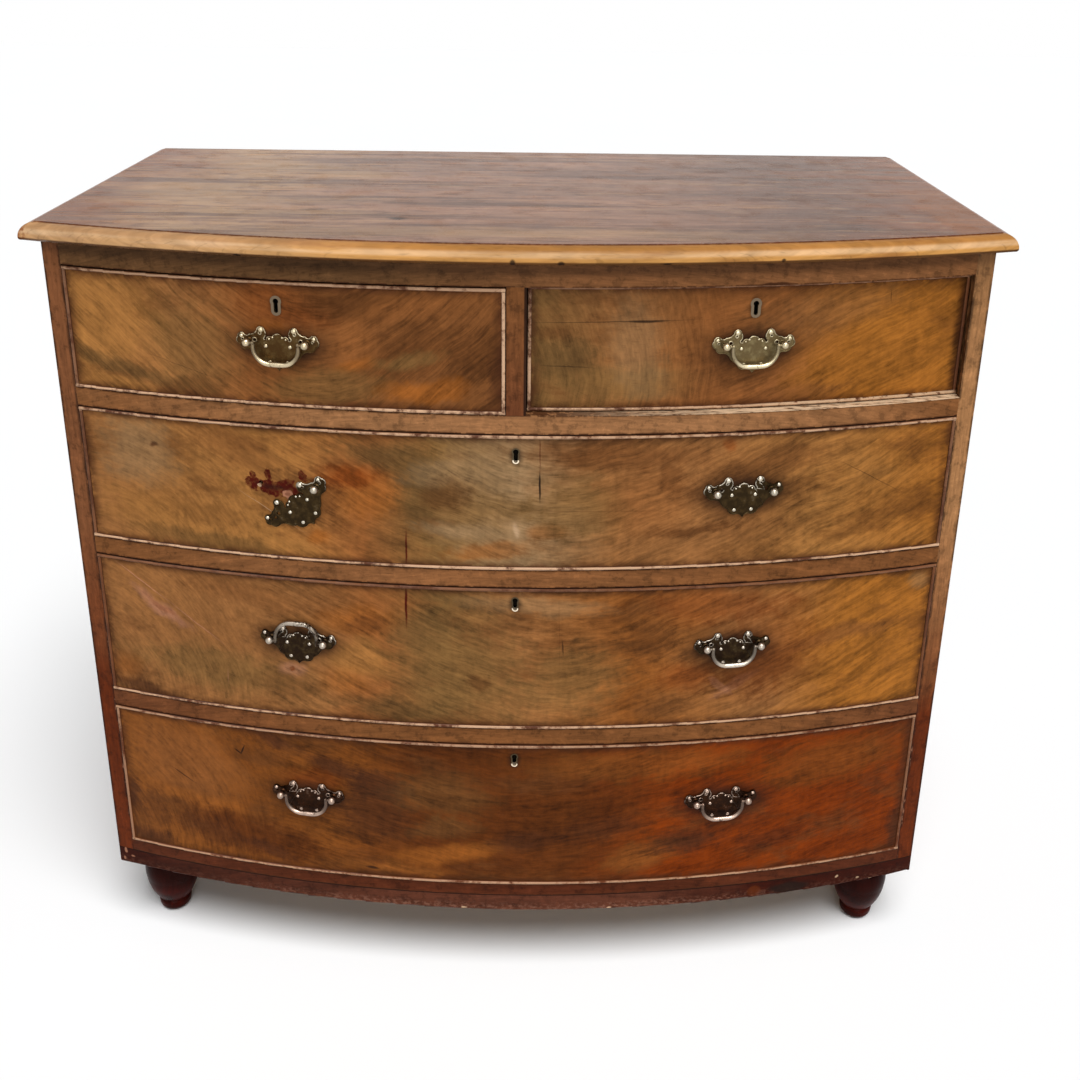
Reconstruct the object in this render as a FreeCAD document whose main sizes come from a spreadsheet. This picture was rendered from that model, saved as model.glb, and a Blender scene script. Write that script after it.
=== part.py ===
import FreeCAD, Part
import math
import os
import re

import Sketcher

# A bow front chest of drawers: two short drawers over three long ones, on four turned feet.
# Millimetres. X runs across the chest, -Y is its bowed front and +Z is up. The origin is on the
# floor, under the middle of the box that holds the whole chest.
#
# Every size is a cell of the sheet. FORMULAS says how the levels and faces follow from those
# cells, and each sub-part is bound to them by expressions.

DIMENSIONS = {
    # the case
    "case_width": 1080,
    "case_depth": 500,
    "bow_rise": 82,
    "side_thickness": 22,
    "stile_depth": 25,
    "back_thickness": 12,
    "back_board_gap": 0.8,
    "rail_height": 22.5,
    "rail_depth": 55,
    "top_rail_height": 29,
    "bottom_rail_height": 17,
    "divider_width": 22,
    "plinth_height": 26,
    "plinth_thickness": 22,
    "plinth_edge_radius": 1,
    "plinth_corner_radius": 3,
    "short_opening": 148,
    "first_opening": 172,
    "second_opening": 197,
    "third_opening": 216,
    # the top
    "top_thickness": 20,
    "top_side_overhang": 19,
    "top_front_overhang": 20,
    "top_nose_radius": 15.5,
    "top_under_radius": 3.4,
    "quirk_step": 0.8,
    "quirk_inset": 15.7,
    # the feet
    "foot_height": 100,
    "foot_inset_side": 57,
    "foot_inset_front": 35,
    "foot_inset_back": 47,
    "spigot_radius": 11,
    "spigot_length": 22,
    "foot_block": 92,
    # runners, guides, kickers and stops inside the case
    "runner_width": 20,
    "runner_front": 52,
    "centre_runner_width": 64,
    "guide_height": 30,
    "kicker_height": 18,
    "stop_length": 40,
    "stop_width": 12,
    "stop_height": 5,
    "stop_gap": 0.5,
    "stop_place": 300,
    "short_stop_place": 80,
    # the drawers
    "front_thickness": 20,
    "bead_width": 4.2,
    "bead_depth": 8,
    "bead_proud": 2,
    "bead_round": 1.8,
    "end_gap": 1,
    "upper_gap": 1.2,
    "lower_gap": 0.8,
    "lining_thickness": 10,
    "lining_play": 0.5,
    "side_step": 4,
    "back_step": 12,
    "back_clearance": 15.2,
    "bottom_thickness": 6,
    "bottom_lift": 8,
    "groove_depth": 4,
    "pushed_in": 14,
    # the dovetails of a drawer's front corners
    "tail_gap": 0.5,
    "tail_reach": 22,
    "tail_tip": 28,
    "tail_root": 20,
    "tail_margin": 9,
    # the locks
    "short_key_drop": 29,
    "first_key_drop": 26,
    "second_key_drop": 22,
    "third_key_drop": 23,
    "key_round_radius": 3.2,
    "key_slot_half": 2.4,
    "key_rise": 4.6,
    "key_foot": 6.2,
    "short_liner_wall": 3.2,
    "long_liner_wall": 1.4,
    "liner_depth": 7,
    "liner_proud": 0.3,
    "lock_width": 60,
    "lock_setback": 9.8,
    "lock_height": 40,
    "lock_back_play": 0.5,
    "bolt_width": 22,
    "bolt_thickness": 4,
    "bolt_setback": 12.5,
    "bolt_length": 16,
    "bolt_play": 0.2,
    "bolt_sink": 0.5,
    "mortise_play": 2.5,
    "mortise_height": 6.5,
    # the handles
    "short_handle_rise": 3,
    "first_handle_rise": 12,
    "second_handle_rise": 14,
    "third_handle_rise": 16,
    "handle_place": 263,
    "post_place": 33.5,
    "post_reach": 9.5,
    "plate_thickness": 1.6,
    "shank_radius": 2.2,
    "shank_hole_radius": 2.5,
    "shank_hole_past": 3,
    "collar_radius": 4.4,
    "collar_thickness": 1.6,
    "collar_top_radius": 3.3,
    "neck_radius": 2.7,
    "head_radius": 4.7,
    "nut_radius": 6,
    "nut_thickness": 3,
    "nut_bore_radius": 2.25,
    "nut_gap": 0.5,
    "thread_end": 25,
    "bail_half_width": 26,
    "bail_drop": 24,
    "bail_corner": 19,
    "bail_end_radius": 2.1,
    "bail_middle_radius": 3,
    "bail_boss_radius": 2.5,
    "bail_boss_half": 1.7,
    "bail_boss_chamfer": 0.8,
    "bail_pin_radius": 1.5,
    "bail_pin_end": 33,
    "pin_hole_radius": 1.6,
    "bail_lean": 190,
    # how far a cutter, or a piece that merges with another, runs past the face it meets
    "overrun": 1,
}

FORMULAS = {
    "half_width": "case_width / 2",
    "inner_half": "half_width - side_thickness",
    "back_face": "(case_depth + bow_rise + top_front_overhang) / 2",
    "inner_back": "back_face - back_thickness",
    "arris": "back_face - case_depth",
    "stile_back": "arris + stile_depth",
    "bow_radius": "(half_width ^ 2 + bow_rise ^ 2) / (2 * bow_rise)",
    "bow_centre": "arris - bow_rise + bow_radius",
    "runner_start": "arris + runner_front",
    "plinth_top": "foot_height + plinth_height",
    "third_floor": "plinth_top + bottom_rail_height",
    "third_ceiling": "third_floor + third_opening",
    "second_floor": "third_ceiling + rail_height",
    "second_ceiling": "second_floor + second_opening",
    "first_floor": "second_ceiling + rail_height",
    "first_ceiling": "first_floor + first_opening",
    "short_floor": "first_ceiling + rail_height",
    "short_ceiling": "short_floor + short_opening",
    "case_top": "short_ceiling + top_rail_height",
    "total_height": "case_top + top_thickness",
    "short_middle": "(inner_half + divider_width / 2) / 2",
    "foot_x": "half_width - foot_inset_side",
    "front_foot_y": "arris + foot_inset_front",
    "back_foot_y": "back_face - foot_inset_back",
}

# Each drawer: its opening's ends, its level, how far it is pushed in, where its keyhole and its
# handles are, and how many tails join its front to each side. A handle is its place, how far its
# plate has swung round its right post in degrees, and whether it still has a bail. A bail hangs
# or has been thrown up against the wood.
HANGING, THROWN_UP, LOST = "hanging", "thrown_up", "lost"
PLATE_SWING = 40
DRAWERS = {
    "short_left_drawer": dict(
        ends=("-inner_half", "-divider_width / 2"), level="short", inset="0", tails=3, stops=True,
        lock="-short_middle", handles=[("", "-short_middle", 0, HANGING)],
    ),
    "short_right_drawer": dict(
        ends=("divider_width / 2", "inner_half"), level="short", inset="pushed_in", tails=3,
        stops=False, lock="short_middle", handles=[("", "short_middle", 0, HANGING)],
    ),
    "first_long_drawer": dict(
        ends=("-inner_half", "inner_half"), level="first", inset="0", tails=4, stops=True, lock="0",
        handles=[("left_", "-handle_place", PLATE_SWING, LOST), ("right_", "handle_place", 0, LOST)],
    ),
    "second_long_drawer": dict(
        ends=("-inner_half", "inner_half"), level="second", inset="0", tails=5, stops=True, lock="0",
        handles=[("left_", "-handle_place", 0, THROWN_UP), ("right_", "handle_place", 0, HANGING)],
    ),
    "third_long_drawer": dict(
        ends=("-inner_half", "inner_half"), level="third", inset="0", tails=5, stops=True, lock="0",
        handles=[("left_", "-handle_place", 0, HANGING), ("right_", "handle_place", 0, HANGING)],
    ),
}

doc = FreeCAD.newDocument("bow_front_chest")
sheet = doc.addObject("Spreadsheet::Sheet", "Dimensions")
nodes = []


def fill_sheet():
    """Writes each driving dimension into the sheet as a plain number, and names its cell."""
    for row, (name, size) in enumerate(DIMENSIONS.items(), start=1):
        sheet.set(f"A{row}", name.replace("_", " "))
        sheet.set(f"B{row}", str(size))
        sheet.setAlias(f"B{row}", name)
    doc.recompute()


def spell(formula):
    """Turns a formula of dimension names into an expression on the sheet's cells."""

    def cell(match):
        word = match.group()
        if word in FORMULAS:
            return "(" + spell(FORMULAS[word]) + ")"
        return "Dimensions." + word if word in DIMENSIONS else word

    return re.sub(r"[a-z][a-z_]*", cell, formula)


def number(formula):
    """The formula's value now, for the first shape of a sketch."""
    value = sheet.evalExpression(spell(formula))
    return float(getattr(value, "Value", value))


def bow_y(x, offset="0", inset="0"):
    """Formula for the front's Y at a given x, on the curve that lies offset outside the bow."""
    return f"bow_centre + {inset} - sqrt((bow_radius + {offset}) ^ 2 - ({x}) ^ 2)"


def bind(item, **formulas):
    """Binds an object's properties to the sheet."""
    for name, formula in formulas.items():
        item.setExpression(name, spell(formula))
    return item


def named(kind, label):
    item = doc.addObject(kind, label)
    item.Label = label
    return item


def node(item):
    """Marks an object as one of the chest's sub-parts, which is written to its own file."""
    nodes.append(item)
    return item


# ------------------------------------------------------------------ straight and bowed pieces
def block(label, x, y, z):
    """A straight board between three pairs of planes."""
    board = named("Part::Box", label)
    for length, axis, (low, high) in zip(("Length", "Width", "Height"), "xyz", (x, y, z)):
        bind(board, **{length: f"({high}) - ({low})", f"Placement.Base.{axis}": low})
    return board


def group(label, pieces):
    """Several solids that make one sub-part."""
    compound = named("Part::Compound", label)
    compound.Links = pieces
    return compound


def cut(label, base, tools):
    """The base with every tool taken out of it."""
    tool = tools[0]
    if len(tools) > 1:
        tool = named("Part::MultiFuse", label + "_cutters")
        tool.Shapes = tools
    result = named("Part::Cut", label)
    result.Base = base
    result.Tool = tool
    return result


def plane_of(body, role):
    return next(f for f in body.Origin.OriginFeatures if f.Role == role)


def new_sketch(body, role, name, offset="0"):
    """A sketch on one of the body's own planes, moved along the plane's normal."""
    sketch = body.newObject("Sketcher::SketchObject", name)
    sketch.AttachmentSupport = [(plane_of(body, role), "")]
    sketch.MapMode = "FlatFace"
    sketch.setExpression("AttachmentOffset.Base.z", spell(offset))
    return sketch


def hold(sketch, kind, geometry, point, formula):
    """Holds a point at a signed distance from the sketch's origin, along X or Y."""
    value = number(formula)
    if value >= 0:
        ends, sign = (-1, 1, geometry, point), ""
    else:
        ends, sign = (geometry, point, -1, 1), "-"
    index = sketch.addConstraint(Sketcher.Constraint(kind, *ends, abs(value)))
    sketch.setExpression(f"Constraints[{index}]", spell(f"{sign}({formula})"))


def hold_radius(sketch, geometry, formula):
    index = sketch.addConstraint(Sketcher.Constraint("Radius", geometry, number(formula)))
    sketch.setExpression(f"Constraints[{index}]", spell(formula))


def join(sketch, pairs):
    for first, first_point, second, second_point in pairs:
        sketch.addConstraint(
            Sketcher.Constraint("Coincident", first, first_point, second, second_point)
        )


def pad(body, sketch, length, name, reverse=False):
    feature = body.newObject("PartDesign::Pad", name)
    feature.Profile = sketch
    feature.Reversed = reverse
    bind(feature, Length=length)
    return feature


def rectangle_pad(body, name, x, y, z):
    """A straight block within a body, from a rectangle drawn on its floor plane."""
    left, right, low, high = (number(f) for f in (*x, *y))
    corners = [
        FreeCAD.Vector(*c, 0) for c in ((left, low), (right, low), (right, high), (left, high))
    ]
    sketch = new_sketch(body, "XY_Plane", name + "_outline", z[0])
    for start, end in zip(corners, corners[1:] + corners[:1]):
        sketch.addGeometry(Part.LineSegment(start, end))
    join(sketch, [(0, 2, 1, 1), (1, 2, 2, 1), (2, 2, 3, 1), (3, 2, 0, 1)])
    for kind, line in (("Horizontal", 0), ("Vertical", 1), ("Horizontal", 2), ("Vertical", 3)):
        sketch.addConstraint(Sketcher.Constraint(kind, line))
    hold(sketch, "DistanceX", 0, 1, x[0])
    hold(sketch, "DistanceX", 2, 1, x[1])
    hold(sketch, "DistanceY", 0, 1, y[0])
    hold(sketch, "DistanceY", 2, 1, y[1])
    return pad(body, sketch, f"({z[1]}) - ({z[0]})", name)


def bow_arc(offset, left, right, inset):
    """The part of a curve parallel to the bow that lies between two x planes."""
    radius = number(f"bow_radius + {offset}")
    middle = FreeCAD.Vector(0, number(f"bow_centre + {inset}"), 0)
    turns = [math.asin(number(x) / radius) - math.pi / 2 for x in (left, right)]
    return Part.ArcOfCircle(Part.Circle(middle, FreeCAD.Vector(0, 0, 1), radius), *turns)


def bowed_pad(body, name, x, z, front, back=None, back_plane=None, inset="0"):
    """A pad whose front is a curve parallel to the bow, front outside it. Its back is another
    such curve, or a straight line across the chest."""
    sketch = new_sketch(body, "XY_Plane", name + "_outline", z[0])
    near = bow_arc(front, *x, inset)
    sketch.addGeometry(near)
    if back is None:
        level = number(back_plane)
        far_left = FreeCAD.Vector(number(x[0]), level, 0)
        far_right = FreeCAD.Vector(number(x[1]), level, 0)
        sketch.addGeometry(Part.LineSegment(far_left, far_right))
    else:
        far = bow_arc(back, *x, inset)
        far_left, far_right = far.StartPoint, far.EndPoint
        sketch.addGeometry(far)
    sketch.addGeometry(Part.LineSegment(near.EndPoint, far_right))
    sketch.addGeometry(Part.LineSegment(near.StartPoint, far_left))
    join(sketch, [(0, 2, 2, 1), (1, 2, 2, 2), (0, 1, 3, 1), (1, 1, 3, 2)])
    sketch.addConstraint(Sketcher.Constraint("Vertical", 2))
    sketch.addConstraint(Sketcher.Constraint("Vertical", 3))
    hold(sketch, "DistanceX", 3, 1, x[0])
    hold(sketch, "DistanceX", 2, 1, x[1])
    sketch.addConstraint(Sketcher.Constraint("PointOnObject", 0, 3, -2))
    hold(sketch, "DistanceY", 0, 3, f"bow_centre + {inset}")
    hold_radius(sketch, 0, f"bow_radius + {front}")
    if back is None:
        sketch.addConstraint(Sketcher.Constraint("Horizontal", 1))
        hold(sketch, "DistanceY", 1, 1, back_plane)
    else:
        join(sketch, [(1, 3, 0, 3)])
        hold_radius(sketch, 1, f"bow_radius + {back}")
    return pad(body, sketch, f"({z[1]}) - ({z[0]})", name)


def bowed(label, x, z, front, **rest):
    """A sub-part that is one bowed pad."""
    body = named("PartDesign::Body", label)
    bowed_pad(body, label + "_pad", x, z, front, **rest)
    return body


def round_edges(body, feature, radius, chosen, name):
    """Rounds the edges of the body's last feature that the test chooses."""
    doc.recompute()
    edges = [f"Edge{i}" for i, edge in enumerate(feature.Shape.Edges, start=1) if chosen(edge)]
    fillet = body.newObject("PartDesign::Fillet", name)
    fillet.Base = (feature, edges)
    bind(fillet, Radius=radius)
    return fillet


def lies_on_curve(offset, inset="0"):
    """A test for edges that run along the curve offset outside the bow."""
    radius = number(f"bow_radius + {offset}")
    axis_y = number(f"bow_centre + {inset}")

    def test(edge):
        return all(
            abs(math.hypot(v.Point.x, v.Point.y - axis_y) - radius) < 0.01 for v in edge.Vertexes
        )

    return test


# ------------------------------------------------------------------ the case
def add_top():
    """The top board: bowed front, straight ends, and a thumb moulding round three edges, which
    starts with a small step down, the quirk, along the edge of the flat field."""
    half = "(half_width + top_side_overhang)"
    shoulder = "total_height - quirk_step"
    body = named("PartDesign::Body", "top_board")
    slab = bowed_pad(
        body, "top_slab", ("-" + half, half), ("case_top", shoulder), "top_front_overhang",
        back_plane="back_face",
    )
    back = number("back_face")

    def on_level(level):
        height = number(level)

        def test(edge):
            flat = all(abs(v.Point.z - height) < 0.01 for v in edge.Vertexes)
            return flat and not all(abs(v.Point.y - back) < 0.01 for v in edge.Vertexes)

        return test

    nose = round_edges(body, slab, "top_nose_radius", on_level(shoulder), "top_nose")
    round_edges(body, nose, "top_under_radius", on_level("case_top"), "top_under_nose")
    bowed_pad(
        body, "top_field", (f"-({half} - quirk_inset)", f"{half} - quirk_inset"),
        (shoulder, "total_height"), "top_front_overhang - quirk_inset", back_plane="back_face",
    )
    return body


def add_case():
    inner = ("-inner_half", "inner_half")
    node(add_top())
    height = ("foot_height", "case_top")
    plinth_z = ("foot_height", "plinth_top")
    for side, x in (
        ("left", ("-half_width", "-inner_half")),
        ("right", ("inner_half", "half_width")),
    ):
        node(block(side + "_side", x, ("stile_back", "back_face"), height))
        blank = bowed(side + "_stile_blank", x, height, "0", back_plane="stile_back")
        housing = bowed(
            side + "_plinth_housing", x, plinth_z, "overrun", back="-plinth_thickness"
        )
        node(cut(side + "_stile", blank, [housing]))
    rail = dict(front="0", back="-rail_depth")
    rails = (
        ("top_rail", ("short_ceiling", "case_top"), "short"),
        ("upper_drawer_rail", ("first_ceiling", "short_floor"), "first"),
        ("middle_drawer_rail", ("second_ceiling", "first_floor"), "second"),
        ("lower_drawer_rail", ("third_ceiling", "second_floor"), "third"),
    )
    for label, z, level in rails:
        blank = bowed(label + "_blank", inner, z, **rail)
        mortises = [
            add_mortise(name, drawer) for name, drawer in DRAWERS.items() if drawer["level"] == level
        ]
        node(cut(label, blank, mortises))
    node(bowed("bottom_rail", inner, ("plinth_top", "third_floor"), **rail))
    divider = ("-divider_width / 2", "divider_width / 2")
    node(bowed("short_drawer_divider", divider, ("short_floor", "short_ceiling"), **rail))
    plinth = named("PartDesign::Body", "front_plinth")
    board = bowed_pad(
        plinth, "plinth_board", ("-half_width", "half_width"), plinth_z, "0",
        back="-plinth_thickness",
    )
    worn = round_edges(plinth, board, "plinth_corner_radius", is_plinth_corner, "plinth_corners")
    round_edges(plinth, worn, "plinth_edge_radius", lies_on_plinth_front, "plinth_edges")
    node(plinth)
    node(
        bowed(
            "bottom_board", inner, ("plinth_top", "third_floor"), "-rail_depth",
            back_plane="inner_back",
        )
    )


def is_plinth_corner(edge):
    """The plinth's lower end edges."""
    half = number("half_width")
    floor = number("foot_height")
    return all(
        abs(abs(v.Point.x) - half) < 0.01 and abs(v.Point.z - floor) < 0.01 for v in edge.Vertexes
    )


def lies_on_plinth_front(edge):
    level = edge.Vertexes[0].Point.z == edge.Vertexes[-1].Point.z
    return level and lies_on_curve("0")(edge)


def add_back():
    """Upright boards, nailed between the sides with a shrinkage gap between them."""
    count = 5
    boards = []
    for i in range(count):
        left = f"-inner_half + {i} * 2 * inner_half / {count} + back_board_gap / 2"
        right = f"-inner_half + {i + 1} * 2 * inner_half / {count} - back_board_gap / 2"
        boards.append(
            block(
                f"back_board_{i + 1}", (left, right), ("inner_back", "back_face"),
                ("foot_height", "case_top"),
            )
        )
    node(group("back_boards", boards))


def add_inner_strips():
    """Runners level with each rail, the guide and kickers of the short drawers, drawer stops, and
    the blocks that take the feet's spigots."""
    strips = []
    along = ("runner_start", "inner_back")
    ends = (("left", "-inner_half", "-inner_half + runner_width"),
            ("right", "inner_half - runner_width", "inner_half"))
    for level, z in (
        ("lower", ("third_ceiling", "second_floor")),
        ("middle", ("second_ceiling", "first_floor")),
        ("upper", ("first_ceiling", "short_floor")),
        ("kicker", ("case_top - kicker_height", "case_top")),
    ):
        for side, left, right in ends:
            strips.append(block(f"{level}_{side}_strip", (left, right), along, z))
    middle = ("-centre_runner_width / 2", "centre_runner_width / 2")
    centre_along = (bow_y("centre_runner_width / 2", "-rail_depth"), "inner_back")
    strips.append(block("centre_runner", middle, centre_along, ("first_ceiling", "short_floor")))
    strips.append(
        block("centre_kicker", middle, centre_along, ("case_top - kicker_height", "case_top"))
    )
    strips.append(
        block(
            "centre_guide", ("-divider_width / 2", "divider_width / 2"), centre_along,
            ("short_floor", "short_floor + guide_height"),
        )
    )
    for name, drawer in DRAWERS.items():
        if drawer["stops"]:
            strips += add_stops(name, drawer)
    strips += [add_foot_block(*corner) for corner in FEET.items()]
    node(group("runners_stops_and_blocks", strips))


def add_stops(name, drawer):
    """Two small blocks on the rail, which the back of the drawer's front meets."""
    if drawer["level"] == "short":
        places = ("-short_middle - short_stop_place", "-short_middle + short_stop_place")
    else:
        places = ("-stop_place", "stop_place")
    floor = drawer["level"] + "_floor"
    stops = []
    for side, place in zip(("left", "right"), places):
        centre = number(place)
        far_end = f"{place} + stop_length / 2" if centre > 0 else f"{place} - stop_length / 2"
        face = bow_y(far_end, "-front_thickness") + " + stop_gap"
        stops.append(
            block(
                f"{name}_{side}_stop",
                (f"{place} - stop_length / 2", f"{place} + stop_length / 2"),
                (face, f"{face} + stop_width"),
                (floor, f"{floor} + stop_height"),
            )
        )
    return stops


# ------------------------------------------------------------------ the feet
FEET = {
    "front_left_foot": ("-foot_x", "front_foot_y"),
    "front_right_foot": ("foot_x", "front_foot_y"),
    "back_left_foot": ("-foot_x", "back_foot_y"),
    "back_right_foot": ("foot_x", "back_foot_y"),
}

# The turned profile of a foot, from the floor up: the end of each stretch, and for a round
# stretch a point that the arc passes through. Radius and height are shares of the foot's height.
FOOT_START = (0.13, 0.0)
FOOT_PROFILE = (
    ((0.215, 0.10), (0.19, 0.03)),
    ((0.205, 0.175), (0.218, 0.14)),
    ((0.355, 0.58), (0.305, 0.36)),
    ((0.335, 0.84), (0.362, 0.71)),
    ((0.31, 0.86), None),
    ((0.345, 0.90), (0.335, 0.87)),
    ((0.345, 1.0), None),
)


def add_foot(label, place):
    """A turned foot: a small pad, a broad bun over it, a groove and a collar, and a spigot above."""
    foot = named("PartDesign::Body", label)
    sketch = new_sketch(foot, "XZ_Plane", label + "_profile")
    tall = number("foot_height")
    spigot = number("spigot_radius")
    spigot_top = tall + number("spigot_length")

    def at(share):
        return FreeCAD.Vector(share[0] * tall, share[1] * tall, 0)

    last = at(FOOT_START)
    sketch.addGeometry(Part.LineSegment(FreeCAD.Vector(0, 0, 0), last))
    for end, through in FOOT_PROFILE:
        if through:
            sketch.addGeometry(Part.Arc(last, at(through), at(end)))
        else:
            sketch.addGeometry(Part.LineSegment(last, at(end)))
        last = at(end)
    for x, z in ((spigot, tall), (spigot, spigot_top), (0, spigot_top), (0, 0)):
        corner = FreeCAD.Vector(x, z, 0)
        sketch.addGeometry(Part.LineSegment(last, corner))
        last = corner
    turning = foot.newObject("PartDesign::Revolution", label + "_turning")
    turning.Profile = sketch
    turning.ReferenceAxis = (sketch, ["V_Axis"])
    turning.Angle = 360
    bind(foot, **{"Placement.Base.x": place[0], "Placement.Base.y": place[1]})
    return node(foot)


def add_foot_block(label, place):
    """A square block in the corner of the case, bored for the foot's spigot."""
    x, y = place
    if number(x) > 0:
        across = ("inner_half - foot_block", "inner_half")
    else:
        across = ("-inner_half", "-inner_half + foot_block")
    if number(y) > 0:
        along = ("inner_back - foot_block", "inner_back")
    else:
        along = ("stile_back", f"{y} + foot_block / 2")
    blank = block(label + "_block_blank", across, along, ("foot_height", "plinth_top"))
    bore = named("Part::Cylinder", label + "_bore")
    bind(bore, Radius="spigot_radius", Height="plinth_height + 2 * overrun")
    bind(bore, **{"Placement.Base.x": x, "Placement.Base.y": y})
    bind(bore, **{"Placement.Base.z": "foot_height - overrun"})
    return cut(label + "_block", blank, [bore])


# ------------------------------------------------------------------ fittings on the bowed front
def body_on_bow(label, x, z, inset, reach="0", lean="0"):
    """A body that stands on the bow: its own -Y points straight out of the wood there. Its origin
    is reach in front of the wood, and it is tipped out and up by lean about its own X."""
    sideways = f"({x}) / bow_radius"
    place = f"vector({x} + {reach} * {sideways}; {bow_y(x, inset=inset)} "
    place += f"- {reach} * sqrt(1 - ({sideways}) ^ 2); {z})"
    turn = f"rotation(vector(0; 0; 1); asin({sideways})) * rotation(vector(1; 0; 0); -{lean})"
    return bind(named("PartDesign::Body", label), Placement=f"placement({place}; {turn})")


def drawer_top(drawer):
    return drawer["level"] + "_ceiling - upper_gap"


def keyhole_sketch(body, name, grow):
    """A keyhole outline, grown by a wall's width: a round eye over a slot with a round foot."""
    sketch = new_sketch(body, "XZ_Plane", name, "liner_proud")
    eye = number("key_round_radius") + grow
    half = number("key_slot_half") + grow
    rise = number("key_rise")
    foot = -number("key_foot")
    shoulder = math.asin(half / eye)
    normal = FreeCAD.Vector(0, 0, 1)
    upper = Part.Circle(FreeCAD.Vector(0, rise, 0), normal, eye)
    lower = Part.Circle(FreeCAD.Vector(0, foot, 0), normal, half)
    sketch.addGeometry(Part.ArcOfCircle(upper, shoulder - math.pi / 2, 1.5 * math.pi - shoulder))
    sketch.addGeometry(Part.ArcOfCircle(lower, math.pi, 2 * math.pi))
    neck = rise - eye * math.cos(shoulder)
    for x in (-half, half):
        sketch.addGeometry(Part.LineSegment(FreeCAD.Vector(x, neck, 0), FreeCAD.Vector(x, foot, 0)))
    return sketch


def keyhole_pad(label, drawer, z, grow, depth):
    body = body_on_bow(label, drawer["lock"], z, drawer["inset"])
    outline = keyhole_sketch(body, label + "_outline", grow)
    pad(body, outline, depth, label + "_pad", reverse=True)
    return body


def add_mortise(name, drawer):
    """Takes the lock's bolt, in the rail above. It is long enough for a drawer pushed in."""
    body = body_on_bow(name + "_mortise", drawer["lock"], drawer["level"] + "_ceiling", "0")
    half = "bolt_width / 2 + mortise_play"
    rectangle_pad(
        body, name + "_mortise_block", (f"-({half})", half),
        ("bolt_setback - mortise_play",
         f"bolt_setback + bolt_thickness + mortise_play + {drawer['inset']}"),
        ("-overrun", "mortise_height"),
    )
    return body


def add_lock(name, drawer):
    """The lock's case in the back of the front, and the brass liner of the keyhole. Returns what
    has to be taken out of the front for them."""
    x, inset = drawer["lock"], drawer["inset"]
    top = drawer_top(drawer)
    key_z = "{0}_ceiling - {0}_key_drop".format(drawer["level"])
    wall = number("short_liner_wall" if drawer["level"] == "short" else "long_liner_wall")
    half = "lock_width / 2"
    depth = ("lock_setback", "front_thickness - lock_back_play")
    case = body_on_bow(name + "_lock_blank", x, top, inset)
    rectangle_pad(case, name + "_lock_case", (f"-{half}", half), depth, ("-lock_height", "0"))
    slot = body_on_bow(name + "_bolt_slot", x, top, inset)
    slot_half = "bolt_width / 2 + bolt_play"
    rectangle_pad(
        slot, name + "_bolt_slot_block", (f"-({slot_half})", slot_half),
        ("bolt_setback - bolt_play", "bolt_setback + bolt_thickness + bolt_play"),
        ("-bolt_length - bolt_sink - bolt_play", "overrun"),
    )
    recess = body_on_bow(name + "_lock_recess", x, top, inset)
    rectangle_pad(
        recess, name + "_lock_recess_block", (f"-{half}", half),
        ("lock_setback", "front_thickness + overrun"), ("-lock_height", "overrun"),
    )
    keyhole = keyhole_pad(name + "_keyhole", drawer, key_z, wall, "lock_setback + overrun")
    liner_blank = keyhole_pad(name + "_liner_blank", drawer, key_z, wall, "liner_depth")
    way = keyhole_pad(name + "_key_way", drawer, key_z, 0, "liner_depth + overrun")
    liner = cut(name + "_keyhole_liner", liner_blank, [way])
    lock_case = cut(name + "_lock_body", case, [slot])
    node(group(name + "_lock", [lock_case, liner]))
    bolt = body_on_bow(name + "_lock_bolt", x, top, inset)
    rectangle_pad(
        bolt, name + "_bolt_block", ("-bolt_width / 2", "bolt_width / 2"),
        ("bolt_setback", "bolt_setback + bolt_thickness"),
        ("-bolt_length - bolt_sink", "-bolt_sink"),
    )
    node(bolt)
    return [recess, keyhole]


# ------------------------------------------------------------------ the brass handles
# Right half of the pierced backplate, from the middle of its crown round to its lowest point, in
# millimetres from the middle between the posts. Each stretch is an arc: a point on it, its end.
PLATE_START = (0.0, 9.0)
PLATE_HALF = (
    ((4.4, 7.4), (5.8, 4.6)),
    ((9.8, 5.8), (12.8, 1.8)),
    ((14.8, 1.8), (15.8, 4.2)),
    ((13.6, 8.8), (14.8, 13.0)),
    ((19.4, 16.8), (23.2, 12.8)),
    ((27.2, 8.8), (32.2, 7.6)),
    ((35.6, 6.0), (38.4, 7.4)),
    ((43.4, 8.6), (45.6, 4.4)),
    ((47.2, -0.8), (43.4, -4.2)),
    ((41.0, -8.4), (36.6, -9.6)),
    ((31.0, -10.4), (26.8, -14.2)),
    ((22.8, -19.4), (17.8, -22.6)),
    ((14.6, -27.8), (7.6, -28.8)),
    ((3.0, -29.8), (0.0, -33.0)),
)
# Round piercings of the right half: place and radius.
PIERCINGS = (
    ((26.6, 1.6), 2.4),
    ((20.0, 9.6), 1.6),
    ((40.4, 1.8), 1.5),
)


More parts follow.
